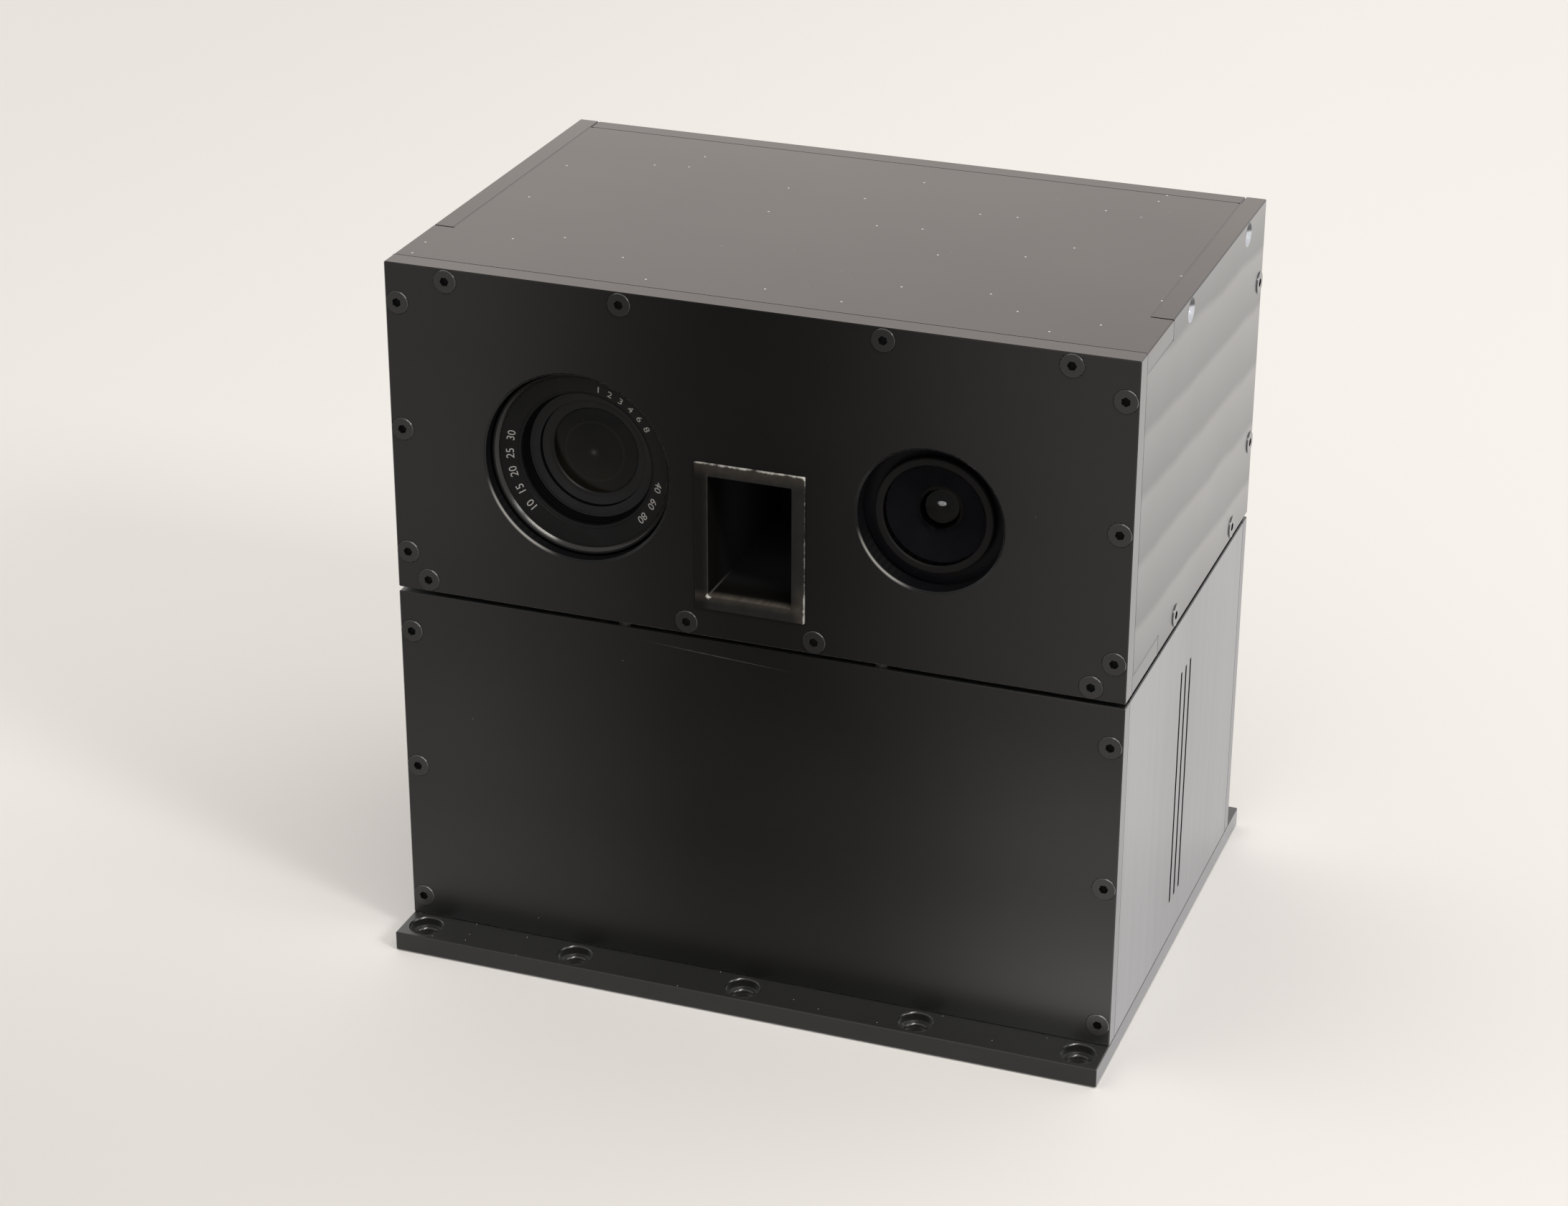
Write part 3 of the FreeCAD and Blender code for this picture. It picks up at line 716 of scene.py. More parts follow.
class CAMERAUNIT_OT_plates(bpy.types.Operator):
    """Give the anodised plates their finishes"""
    bl_idname = "camera_unit.plates"
    bl_label = "Finish Plates"

    def execute(self, context):
        settings = context.scene.camera_unit_plates
        flange_top = context.scene.camera_unit_holes.flange_top
        tone = settings.tone
        # The front covers carry a painted reflection, painted highlights at the windows' lower left edges, and
        # painted shade on the windows' walls.
        paint_nodes(plate_finish(
            "black_front", tone, straight_and_painted_sheen=painted_front_reflection, dust=0.05, polish=window_edges,
            marks=lambda finish: scratch(finish) + painted_window_highlight(finish),
            dark=lambda finish: painted_window_shade(finish) * (1 - painted_window_highlight(finish) * 2)),
            "upper_front_cover", "lower_front_cover")
        paint_nodes(plate_finish(
            "black_top", tone, settings.painted_top_sheen, dust=0.45,
            marks=lambda finish: dust_motes(finish, cad_box[1].z, 12 * MM, 0.42 * MM)),
            "upper_top_plate")
        paint_nodes(plate_finish(
            "black_milled_side", tone, settings.painted_upper_sheen, dust=0.03, sheen_pattern=milling_bands),
            "upper_right_side", "upper_left_side")
        paint_nodes(plate_finish(
            "black_streaked_side", tone, settings.painted_lower_sheen, dust=0.03, sheen_pattern=upright_streaks_and_painted_sheen),
            "lower_right_side", "lower_left_side")
        paint_nodes(plate_finish(
            "black_base", settings.base_tone, straight_and_painted_sheen=lambda finish: BASE_CLOUDS, dust=0.3,
            marks=lambda finish: dust_motes(finish, flange_top, 9 * MM, 0.22 * MM) * 0.5),
            "base_plate")
        paint_nodes(plate_finish("black_plain", tone),
                    "upper_back_plate", "lower_back_cover", "upper_floor_plate", "lower_deck",
                    "zoom_bracket", "wide_bracket")
        return {"FINISHED"}


def paint_nodes(material, *nodes):
    """Gives nodes of the frame a finish."""
    for node in nodes:
        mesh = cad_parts[node].data
        mesh.materials.clear()
        mesh.materials.append(material)


class CAMERAUNIT_OT_inner_housings(bpy.types.Operator):
    """Finish the camera bodies, the electronics and the spacer pads"""
    bl_idname = "camera_unit.inner_housings"
    bl_label = "Finish Inner Housings"

    def execute(self, context):
        satin = grained_finish("satin_housing", 0.6 * MM, grey(0.05), grey(0.09), 0.4, 0.15,
                               patch_size=20 * MM, depth=0.01 * MM, Metallic=0.3)
        paint_nodes(satin, "electronics_unit", "tube_support", "zoom_camera", "wide_camera")
        matte = grained_finish("matte_black_housing", 0.6 * MM, grey(0.003), grey(0.007), 0.7, 0.1,
                               depth=0.01 * MM, Specular_IOR_Level=0.05)
        paint_nodes(matte, "tube_camera")
        steel = grained_finish("dark_steel_pad", 0.3 * MM, grey(0.018), (0.032, 0.031, 0.030), 0.4, 0.1,
                               detail=2, Metallic=0.8)
        paint_nodes(steel, "spacer_pads")
        return {"FINISHED"}


class CAMERAUNIT_OT_joint_fills(bpy.types.Operator):
    """Fill the fine joints between the plates, just below their faces"""
    bl_idname = "camera_unit.joint_fills"
    bl_label = "Fill Joints"

    def execute(self, context):
        settings = context.scene.camera_unit_plates
        sink, gap = settings.fill_sink, settings.notch_gap
        low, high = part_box("upper_right_side")
        lower_low, lower_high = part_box("lower_right_side")
        (cap_low, cap_high), (floor_low, floor_high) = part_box("upper_top_plate"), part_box("upper_floor_plate")
        cover_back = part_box("upper_front_cover")[1].y
        front = (cover_back + low.y) / 2
        lower_front = (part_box("lower_front_cover")[1].y + lower_low.y) / 2
        half_gap = low.y - front
        reach = half_gap + 0.2 * MM
        ear_end = cover_back + settings.ear_length
        notch = ear_end + gap / 2
        top, milled, streaked = (bpy.data.materials[name]
                                 for name in ("black_top", "black_milled_side", "black_streaked_side"))
        # Fills of the side plates' joints: first and last point as depth and height, reach over depth and height
        upright, level, wide = (reach, 0), (0, reach), (reach * 1.6, 0)
        strips = (
            ("upper_front", (front, low.z), (front, high.z - sink), upright, milled),
            ("ear_below_cap", (front, cap_low.z - half_gap), (ear_end, cap_low.z - half_gap), level, milled),
            ("ear_above_floor", (front, floor_high.z + half_gap), (ear_end, floor_high.z + half_gap), level, milled),
            ("behind_cap_ear", (notch, cap_low.z), (notch, cap_high.z - 0.5 * MM), wide, milled),
            ("behind_floor_ear", (notch, floor_low.z), (notch, floor_high.z), wide, milled),
            ("lower_front", (lower_front, lower_low.z), (lower_front, lower_high.z), upright, streaked),
            ("lower_back", (-lower_front, lower_low.z), (-lower_front, lower_high.z), upright, streaked),
        )
        outside = high.x - sink
        cap_face = high.z - 2 * sink
        depth = 1 * MM
        for name, y, half in (("front", front, high.x - depth), ("back", cap_high.y + half_gap, low.x - depth)):
            self.strip(f"joint_cap_{name}", (-half, y - reach, cap_face - depth), (half, y + reach, cap_face), 1, top)
        inner = low.x - half_gap
        for side, hand in ((1, "right"), (-1, "left")):
            for name, (y, z), (end_y, end_z), (reach_y, reach_z), material in strips:
                self.strip(f"joint_{name}_{hand}", (outside - depth, y - reach_y, z - reach_z),
                           (outside, end_y + reach_y, end_z + reach_z), side, material)
            self.strip(f"joint_cap_{hand}", (inner - reach, ear_end + gap, high.z - depth),
                       (inner + reach, cap_high.y, cap_face), side, top)
        return {"FINISHED"}

    def strip(self, name, low, high, side, material):
        """A thin filling with broken edges, on the right side or mirrored to the left."""
        low, high = Vector(low), Vector(high)
        centre = (low + high) / 2
        piece = block(name, (side * centre.x, centre.y, centre.z), high - low)
        bpy.ops.object.mode_set(mode="EDIT")
        bpy.ops.mesh.select_all(action="SELECT")
        bpy.ops.mesh.bevel(offset=0.02 * MM, segments=1)
        bpy.ops.object.mode_set(mode="OBJECT")
        finish_piece(piece, material)


class CAMERAUNIT_OT_screws(bpy.types.Operator):
    """Model one countersunk screw and set a copy in each hole that has one"""
    bl_idname = "camera_unit.screws"
    bl_label = "Set Screws"

    def execute(self, context):
        settings = context.scene.camera_unit_screws
        # The heads and worn rims carry the front covers' painted reflection; the sockets get painted shade.
        head = plate_finish("blackened_screw", settings.tone, dust=0,
                            straight_and_painted_sheen=lambda finish: painted_front_reflection(finish) + settings.head_shine)
        rim = plate_finish("worn_screw_rim", settings.tone, dust=0, polish=lambda finish: 0.45,
                           straight_and_painted_sheen=lambda finish: painted_front_reflection(finish) + settings.rim_shine)
        socket = plate_finish("dark_screw_socket", scaled(settings.tone, 0.6), dust=0, dark=lambda finish: 0.8)
        socket_turn = 2.4  # radians from one screw's socket to the next
        count = 0
        for head_diameter, places in ((settings.head_diameter, self.cover_places(settings)),
                                      (settings.side_head_diameter, self.side_places(settings))):
            model = self.model_screw(settings, head_diameter)
            face_slots = [face.material_index for face in model.data.polygons]
            for point, outward in places:
                count += 1
                place = Matrix.Translation(point + outward * settings.proud) @ facing(outward, count * socket_turn)
                screw = finish_piece(placed_copy(model, f"screw_{count:02d}", place), head,
                                     smooth_angle=SCREW_SMOOTH_ANGLE)
                screw.data.materials.append(rim)
                screw.data.materials.append(socket)
                screw.data.polygons.foreach_set("material_index", face_slots)
            delete(model)
        return {"FINISHED"}

    def model_screw(self, settings, head_diameter):
        """A countersunk screw whose head's face lies at zero, with its socket cut by a hexagonal bar."""
        deselect_all()
        head = head_diameter / 2
        cone = head - settings.shank_diameter / 2
        depth = settings.rim_land + cone
        bpy.ops.mesh.primitive_cylinder_add(vertices=32, radius=head, depth=depth, location=(0, 0, -depth / 2))
        screw = bpy.context.object
        bpy.ops.object.mode_set(mode="EDIT")
        pick(screw, "faces", lambda face: face.normal.z < -0.5)
        bpy.ops.transform.resize(value=(settings.shank_diameter / head_diameter,) * 2 + (1,),
                                 center_override=(0, 0, -depth))
        bpy.ops.mesh.extrude_region_move(TRANSFORM_OT_translate={"value": (0, 0, -settings.shank_length)})
        pick(screw, "edges", lambda edge: all(abs(v.co.z - depth / 2) < MERGE_DISTANCE for v in edge.verts))
        bpy.ops.mesh.bevel(offset=settings.rim_break, segments=1)
        bpy.ops.object.mode_set(mode="OBJECT")
        deselect_all()
        corner_radius = settings.socket_width / 2 / math.cos(math.pi / 6)
        bpy.ops.mesh.primitive_cylinder_add(vertices=6, radius=corner_radius, depth=2 * settings.socket_depth,
                                            location=(0, 0, 0))
        bar = bpy.context.object
        cut = screw.modifiers.new("socket", "BOOLEAN")
        cut.object = bar
        cut.operation = "DIFFERENCE"
        apply_modifiers(screw)
        delete(bar)
        activate(screw)
        apply_place()
        for face in screw.data.polygons:
            sunk = face.center.z < -MERGE_DISTANCE
            in_socket = sunk and face.center.xy.length < corner_radius and face.normal.z > -0.5
            on_rim = 0.05 < face.normal.z < 0.98 and face.center.z > -settings.rim_land
            face.material_index = 2 if in_socket else int(on_rim)
        return screw

    def cover_places(self, settings):
        """Screws of the front covers, the lower back cover and the back plate."""
        upper_low, upper_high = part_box("upper_front_cover")
        lower_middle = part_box("lower_front_cover")[1].z / 2
        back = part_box("upper_back_plate")[1].y
        half = upper_high.x
        top, bottom = upper_high.z - settings.edge_inset, upper_low.z + settings.edge_inset
        rows = [(settings.top_row_inner, top), (half - settings.top_row_from_side, top),
                (settings.bottom_row_inner, bottom), (half - settings.bottom_row_from_side, bottom)]
        upper_middle = (upper_low.z + upper_high.z) / 2
        column = half - settings.edge_inset
        upper = [(column, upper_middle + step * settings.upper_pitch) for step in (-1, 0, 1)]
        lower = [(column, lower_middle + step * settings.lower_pitch) for step in (-1, 0, 1)]
        places = []
        for side in (-1, 1):
            for x, z in rows + upper + lower:
                places.append((Vector((side * x, upper_low.y, z)), -Y_AXIS))
            for x, z in rows + lower:
                places.append((Vector((side * x, back, z)), Y_AXIS))
        return places

    def side_places(self, settings):
        """Screws of the upper side plates. The right plate's top row is left empty."""
        low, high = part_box("upper_right_side")
        bottom, top = low.z + settings.side_inset, high.z - settings.side_inset
        rows = side_rows()
        centre = (low.z + high.z) / 2
        column = [(high.y - settings.edge_inset, centre + step * settings.back_pitch / 2) for step in (-1, 1)]
        places = []
        for side in (-1, 1):
            spots = [(y, bottom) for y in rows] + column
            if side < 0:
                spots += [(y, top) for y in rows]
            places += [(Vector((side * high.x, y, z)), X_AXIS * side) for y, z in spots]
        return places


def side_rows():
    """Depths of the holes in the upper side plates' rows."""
    settings = bpy.context.scene.camera_unit_screws
    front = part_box("upper_front_cover")[0].y
    return [front + settings.side_row_start + step * settings.side_row_pitch for step in (0, 1)]


class CAMERAUNIT_OT_hole_rims(bpy.types.Operator):
    """Turn the smooth rims of the flanges' counterbores and of the two countersinks left without screws"""
    bl_idname = "camera_unit.hole_rims"
    bl_label = "Turn Hole Rims"

    def execute(self, context):
        settings = context.scene.camera_unit_holes
        lift = 0.03 * MM
        rim, hole = settings.counterbore_diameter / 2, settings.hole_diameter / 2
        edge = 0.38 * MM
        floor, end = settings.counterbore_depth - 0.45 * MM, settings.counterbore_depth + 1 * MM
        outer, bore = rim + 0.25 * MM, hole - lift
        outline = [(outer, -lift), (rim, -lift), (rim - edge, edge), (rim - edge, floor), (hole + edge, floor),
                   (bore, floor + edge + 0.05 * MM), (bore, end), (outer, end), (outer, -lift)]
        model = turn("counterbore_model", outline, Vector(), HOLE_STEPS, rounding=0.04 * MM)

        def edges(finish):
            """The broken edges of the counterbores and of the holes below them."""
            return sum(finish.near(finish.z, settings.flange_top - depth - edge / 2, 0.4 * MM)
                       for depth in (0, floor)) * 0.6

        black = plate_finish("counterbore_black", context.scene.camera_unit_plates.base_tone,
                             straight_and_painted_sheen=lambda finish: BASE_CLOUDS, polish=edges)
        self.place_all(model, "counterbore_rim", self.counterbore_places(settings), Z_AXIS, black, "black_anodised")
        cone, tapped = settings.countersink_diameter / 2, settings.tapped_diameter / 2
        outer, bore, end = cone + 0.1 * MM, tapped - 0.05 * MM, 5 * MM
        outline = [(outer, -lift), (cone - 0.12 * MM, -lift), (bore, cone - tapped - 0.2 * MM), (bore, end),
                   (tapped + 0.3 * MM, end), (outer, cone), (outer, -lift)]
        model = turn("countersink_model", outline, Vector(), HOLE_STEPS, rounding=0.03 * MM)
        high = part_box("upper_right_side")[1]
        row = high.z - context.scene.camera_unit_screws.side_inset
        self.place_all(model, "bare_countersink", [Vector((high.x, y, row)) for y in side_rows()], X_AXIS,
                       self.bare_finish(settings.bare_tone, row), "steel")
        return {"FINISHED"}

    def place_all(self, model, name, places, outward, material, slot):
        """Sets a copy of a turned model at each place, its open end outward."""
        turned = (-Y_AXIS).rotation_difference(outward).to_matrix().to_4x4()
        for count, point in enumerate(places, 1):
            place = Matrix.Translation(point) @ turned
            finish_piece(placed_copy(model, f"{name}_{count:02d}", place), material)
        delete(model)

    def counterbore_places(self, settings):
        """Middles of the flanges' holes on their top face."""
        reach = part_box("base_plate")[1]
        y = reach.y - settings.from_edge
        columns = (0, reach.x - settings.inner_from_side, reach.x - settings.outer_from_side)
        return [Vector((side * x, end * y, settings.flange_top)) for end in (-1, 1)
                for x in columns for side in ((1,) if x == 0 else (-1, 1))]

    def bare_finish(self, tone, row):
        """Bare turned aluminium, with painted shade above the row's middle, where the hole's bore shades the cone."""
        finish = Finish("bare_aluminium")
        grain = finish.noise(0.3 * MM, detail=3)
        ground = finish.mix(grain, scaled(tone, 0.85), scaled(tone, 1.1))
        ground = finish.mix(finish.rise(finish.z, row - 0.4 * MM, row + 0.8 * MM), ground, scaled(tone, 0.22))
        return finish.close(finish.surface(Base_Color=ground, Metallic=1.0, Roughness=0.28 + grain * 0.12,
                                           Normal=finish.bump(grain, METAL_GRAIN_DEPTH)))


class CAMERAUNIT_OT_zoom_lens(bpy.types.Operator):
    """Model the zoom lens: barrel, sloping ring with its numbers, stepped cell and glass"""
    bl_idname = "camera_unit.zoom_lens"
    bl_label = "Build Zoom Lens"

    def execute(self, context):
        settings = context.scene.camera_unit_zoom
        axis, outer = middle_line("zoom_barrel"), radius_of("zoom_barrel")
        bore = outer - settings.rim_width
        self.barrel(settings, axis, outer, bore)
        self.name_ring(settings, axis, bore)
        self.cell(settings, axis, bore)
        low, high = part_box("zoom_glass")
        radius = radius_of("zoom_glass")
        turned_glass("zoom_front_glass", dome(radius, settings.glass_crown, low.y, high.y), axis, GLASS_STEPS,
                     self.glass_finish(settings, axis, radius), "zoom_glass")
        self.marks(settings, axis, bore)
        return {"FINISHED"}

    def barrel(self, settings, axis, outer, bore):
        """Barrel with a raised rim, two grip grooves, a wide sleeve and a neck."""
        low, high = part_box("zoom_barrel")
        front, seat = low.y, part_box("zoom_cell")[1].y
        groove = outer - 0.3 * MM
        outline = [(bore, seat), (bore, front + 1.5 * MM), (bore + 0.15 * MM, front + 1.2 * MM),
                   (bore + 0.75 * MM, front + 0.52 * MM), (bore + 1.1 * MM, front + 0.2 * MM),
                   (outer - 0.8 * MM, front), (outer - 0.4 * MM, front), (outer, front + 0.5 * MM)]
        for y in (front + 1.8 * MM, front + 3.4 * MM):
            outline += [(outer, y), (groove, y + 0.1 * MM), (groove, y + 0.6 * MM), (outer, y + 0.7 * MM)]
        sleeve = front + settings.sleeve_length
        outline += [(outer, sleeve), (settings.neck_radius, sleeve), (settings.neck_radius, high.y),
                    (0, high.y), (0, seat), (bore, seat)]
        slope_end = outer - 1.0 * MM
        black = lens_black_finish("zoom_rim_black", axis, second=(
            lambda finish: finish.rise(from_axis(finish, axis), slope_end, slope_end - 0.1 * MM),
            (0.008, 0.0078, 0.0075), 0.4, 0.16))
        turned_part("zoom_barrel_turned", outline, axis, 0.08 * MM, black, "zoom_barrel")

    def name_ring(self, settings, axis, outer):
        """Sloping ring with a fine lip at its inner edge."""
        low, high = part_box("zoom_name_ring")
        inner = settings.mouth_radius
        mouth = low.y + settings.slope
        outline = [(outer, low.y), (inner + 0.9 * MM, mouth - 0.32 * MM), (inner + 0.8 * MM, mouth - 0.1 * MM),
                   (inner + 0.5 * MM, mouth - 0.1 * MM), (inner, mouth + 0.25 * MM), (inner, high.y),
                   (outer, high.y), (outer, low.y)]
        turned_part("zoom_name_ring_turned", outline, axis, 0.06 * MM, lens_black_finish("zoom_lens_black", axis),
                    "zoom_name_ring")

    def cell(self, settings, axis, outer):
        """Stepped cell with fine baffle grooves down its walls, which get painted shade that makes them darker than
        its ledges.
        """
        low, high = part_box("zoom_cell")
        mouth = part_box("zoom_name_ring")[0].y + settings.slope
        ledge, throat = mouth + settings.ledge_drop, mouth + settings.throat_drop
        wall = settings.mouth_radius - 0.45 * MM
        ledge_radius, throat_radius = settings.ledge_radius, settings.throat_radius
        glass_radius = radius_of("zoom_glass")
        rim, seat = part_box("zoom_glass")[0].y + settings.glass_crown, high.y - 2 * MM
        outline = [(outer, low.y), (wall, low.y)]
        groove_step = 0.18 * MM
        thirds = (1 / 3, 2 / 3, 1)
        ledge_back = ledge + len(thirds) * groove_step
        for part in thirds:
            y = low.y + (ledge - low.y) * part
            radius = wall + (ledge_radius - wall) * part
            outline += [(radius + 0.3 * MM, y - 0.15 * MM), (radius, y)]
        for step, part in enumerate(thirds, 1):
            radius = ledge_radius + (throat_radius - ledge_radius) * part
            outline += [(radius, ledge + (step - 0.6) * groove_step), (radius, ledge + step * groove_step)]
        outline += [(throat_radius - 0.15 * MM, throat), (glass_radius + 1.4 * MM, rim - 0.35 * MM),
                    (glass_radius + 0.45 * MM, rim - 0.4 * MM), (glass_radius, rim + 0.1 * MM),
                    (glass_radius, seat), (0, seat), (0, high.y), (outer, high.y), (outer, low.y)]

        def walls(finish):
            """The mouth's and the throat's walls, which take painted shade."""
            mouth_wall = finish.rise(finish.y, ledge - 0.05 * MM, ledge - 0.15 * MM)
            throat_wall = (finish.rise(finish.y, ledge_back + 0.02 * MM, ledge_back + 0.12 * MM)
                           * finish.rise(finish.y, throat + 0.02 * MM, throat - 0.1 * MM))
            return finish.math("MINIMUM", 1.0, mouth_wall + throat_wall)

        # The walls' second tone is painted shade: near black and matte, darker than the ledges.
        black = lens_black_finish("zoom_cell_black", axis, tone=(0.0085, 0.0083, 0.0088), gloss=0.12,
                                  second=(walls, (0.0016, 0.0016, 0.0018), 0.02, 0.6))
        turned_part("zoom_cell_turned", outline, axis, 0.05 * MM, black, "zoom_cell")

    def glass_finish(self, settings, axis, radius):
        """Dark coated glass, with a painted reflection that makes its lower half browner, and the faint edge of a
        lens behind it painted as a lighter ring.
        """
        finish = Finish("zoom_coated_glass")
        patches = finish.noise(8 * MM, detail=1)
        lower = finish.rise(finish.z, axis.z + 0.5 * radius, axis.z - 0.6 * radius)
        tone = finish.mix(lower + (patches - 0.5) * 0.9, settings.glass_tone, settings.painted_reflection_tone)
        painted_inner_edge = finish.near(from_axis(finish, axis), 0.7 * radius, 0.5 * MM)
        tone = finish.mix(painted_inner_edge * 0.25, tone, (0.020, 0.019, 0.018))
        dots = glass_dust(finish)
        return finish.close(finish.surface(Base_Color=finish.mix(dots, tone, grey(GLASS_DUST)),
                                           Roughness=0.12 + dots * 0.3, Specular_IOR_Level=0.10))

    def marks(self, settings, axis, outer):
        """Plain numbers of a distance scale, in groups round the sloping ring."""
        radius = (outer + settings.mouth_radius) / 2
        run = outer - settings.mouth_radius
        lean = math.atan2(settings.slope, run)
        face_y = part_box("zoom_name_ring")[0].y + settings.slope * (outer - radius) / run - 0.03 * MM
        material = self.mark_finish(settings)
        for group, (start, numbers, angle_step) in enumerate(SCALE_GROUPS, 1):
            pieces = [self.number(settings, number, axis, radius, math.radians(start - index * angle_step),
                                  face_y, lean)
                      for index, number in enumerate(numbers.split())]
            activate(pieces[0])
            for piece in pieces:
                piece.select_set(True)
            bpy.ops.object.join()
            joined = bpy.context.object
            joined.name = f"zoom_scale_numbers_{group}"
            finish_piece(joined, material)

    def number(self, settings, text, axis, radius, angle, face_y, lean):
        """One number that stands upright as seen from the ring's middle."""
        deselect_all()
        bpy.ops.object.text_add()
        letter = bpy.context.object
        letter.data.body = text
        letter.data.size = settings.mark_height
        letter.data.align_x = letter.data.align_y = "CENTER"
        letter.data.extrude = 0.02 * MM
        letter.data.resolution_u = 4
        activate(letter)
        bpy.ops.object.convert(target="MESH")
        letter = bpy.context.object
        outward = Vector((math.cos(angle), 0, math.sin(angle)))
        centre = Vector((axis.x, face_y, axis.z)) + outward * radius
        upright = Matrix.Rotation(math.pi / 2 + lean, 4, "X")
        spun = Matrix.Rotation(math.pi / 2 - angle, 4, "Y")
        letter.matrix_world = Matrix.Translation(centre) @ spun @ upright
        return letter

    def mark_finish(self, settings):
        """White paint, slightly worn."""
        finish = Finish("white_mark_paint")
        wear = finish.noise(0.3 * MM, detail=3)
        tone = finish.mix(finish.rise(wear, 0.5, 0.8), settings.mark_tone, scaled(settings.mark_tone, 0.5))
        return finish.close(finish.surface(Base_Color=tone, Roughness=0.5 + wear * 0.2))


class CAMERAUNIT_OT_wide_lens(bpy.types.Operator):
    """Model the wide lens: barrel, flat ring, front glass, baffle and inner element"""
    bl_idname = "camera_unit.wide_lens"
    bl_label = "Build Wide Lens"

    def execute(self, context):
        settings = context.scene.camera_unit_wide
        low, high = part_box("wide_ring")
        axis, ring, bore = middle_line("wide_ring"), radius_of("wide_ring"), radius_of("wide_glass")
        outline = [(bore, low.y + 0.5 * MM), (bore + 0.45 * MM, low.y), (ring - 0.35 * MM, low.y),
                   (ring, low.y + 0.4 * MM), (ring, high.y), (bore, high.y), (bore, low.y + 0.5 * MM)]
        turned_part("wide_ring_turned", outline, axis, 0.08 * MM, self.ring_finish(settings, axis), "wide_ring")
        self.barrel(axis, ring, bore, high.y)
        glass_low, glass_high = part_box("wide_glass")
        turned_glass("wide_front_glass", dome(bore, settings.glass_crown, glass_low.y, glass_high.y), axis,
                     GLASS_STEPS, self.glass_finish(settings), "wide_glass")
        self.baffle(settings, axis, bore)
        radius = radius_of("wide_element")
        top = low.y + settings.element_drop - settings.element_crown
        outline = dome(radius, settings.element_crown, top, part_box("wide_element")[1].y)
        turned_glass("wide_inner_lens", outline, axis, 64, self.element_finish(axis, radius), "wide_element")
        return {"FINISHED"}

    def barrel(self, axis, ring, bore, ring_end):
        """Barrel with a stepped shoulder and a neck."""
        low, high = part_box("wide_barrel")
        shoulder = radius_of("wide_barrel")
        neck, shoulder_end = 17 * MM, low.y + 16 * MM
        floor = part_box("wide_element")[1].y
        flange, flange_end = shoulder + 1.5 * MM, low.y + 1.2 * MM
        groove = shoulder - 0.3 * MM
        outline = [(ring, low.y), (flange, low.y), (flange, flange_end), (shoulder, flange_end)]
        for y in (low.y + start * MM for start in (2.0, 4.0, 6.0)):
            outline += [(shoulder, y), (groove, y + 0.1 * MM), (groove, y + 0.8 * MM), (shoulder, y + 0.9 * MM)]
        outline += [(shoulder, shoulder_end), (neck, shoulder_end), (neck, high.y), (0, high.y), (0, floor),
                    (bore, floor), (bore, ring_end), (ring, ring_end), (ring, low.y)]
        black = lens_black_finish("wide_lens_black", axis, tone=(0.0060, 0.0060, 0.0075), gloss=0.05)
        turned_part("wide_barrel_turned", outline, axis, 0.08 * MM, black, "wide_barrel")

    def baffle(self, settings, axis, bore):
        """Ribbed cone between the front glass and the inner element, whose lighter tone is a painted reflection of
        the front glass.
        """
        low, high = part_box("wide_baffle")
        inner = radius_of("wide_element")
        steps = 5
        down = (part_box("wide_element")[1].y - 2.6 * MM - low.y) / steps
        inward = (bore - inner) / steps
        outline = [(bore, low.y)]
        for step in range(1, steps + 1):
            y, radius = low.y + down * step, bore - inward * step
            outline += [(radius + 0.25 * inward, y - 0.2 * down), (radius, y)]
        outline += [(inner, high.y), (bore, high.y), (bore, low.y)]
        piece = turn("wide_baffle_turned", outline, axis, GLASS_STEPS)
        black = lens_black_finish("wide_cone_black", axis, settings.cone_tone_and_glass_reflection, gloss=0.0)
        finish_piece(piece, black, ["wide_baffle"])

    def ring_finish(self, settings, axis):
        """Satin grey ring with fine turning marks."""
        finish = Finish("satin_grey_ring")
        lines = turning_lines(finish, axis, 0.25 * MM)
        grain = finish.noise(0.4 * MM)
        tone = finish.mix(grain, scaled(settings.ring_tone, 0.8), scaled(settings.ring_tone, 1.3))
        return finish.close(finish.surface(Base_Color=tone, Roughness=0.42 + grain * 0.1, Specular_IOR_Level=0.06,
                                           Normal=finish.bump(lines * 0.4 + grain, 0.006 * MM)))

    def glass_finish(self, settings):
        """Coated glass that lets a share of the light through, with a few specks of dust."""
        finish = Finish("wide_coated_glass")
        clear = 0.6
        haze = finish.noise(3 * MM, detail=3)
        dots = glass_dust(finish)
        body = finish.mix(haze, scaled(settings.glass_tone, 0.8), scaled(settings.glass_tone, 1.2))
        return finish.close(finish.surface(Base_Color=finish.mix(dots, body, grey(GLASS_DUST)),
                                           Roughness=0.04 + dots * 0.3, Specular_IOR_Level=0.0,
                                           Alpha=1 - clear + dots * 0.3))

    def element_finish(self, axis, radius):
        """Dark inner lens, black with a painted highlight: a faint lighter ring at its edge."""
        finish = Finish("wide_inner_glass")
        edge = finish.rise(from_axis(finish, axis) / radius, 0.82, 0.92)
        haze = finish.noise(2 * MM)
        return finish.close(finish.surface(Base_Color=finish.mix(edge, grey(0.0), (0.042, 0.039, 0.036)),
                                           Roughness=0.05 + haze * 0.05, Specular_IOR_Level=0.85))


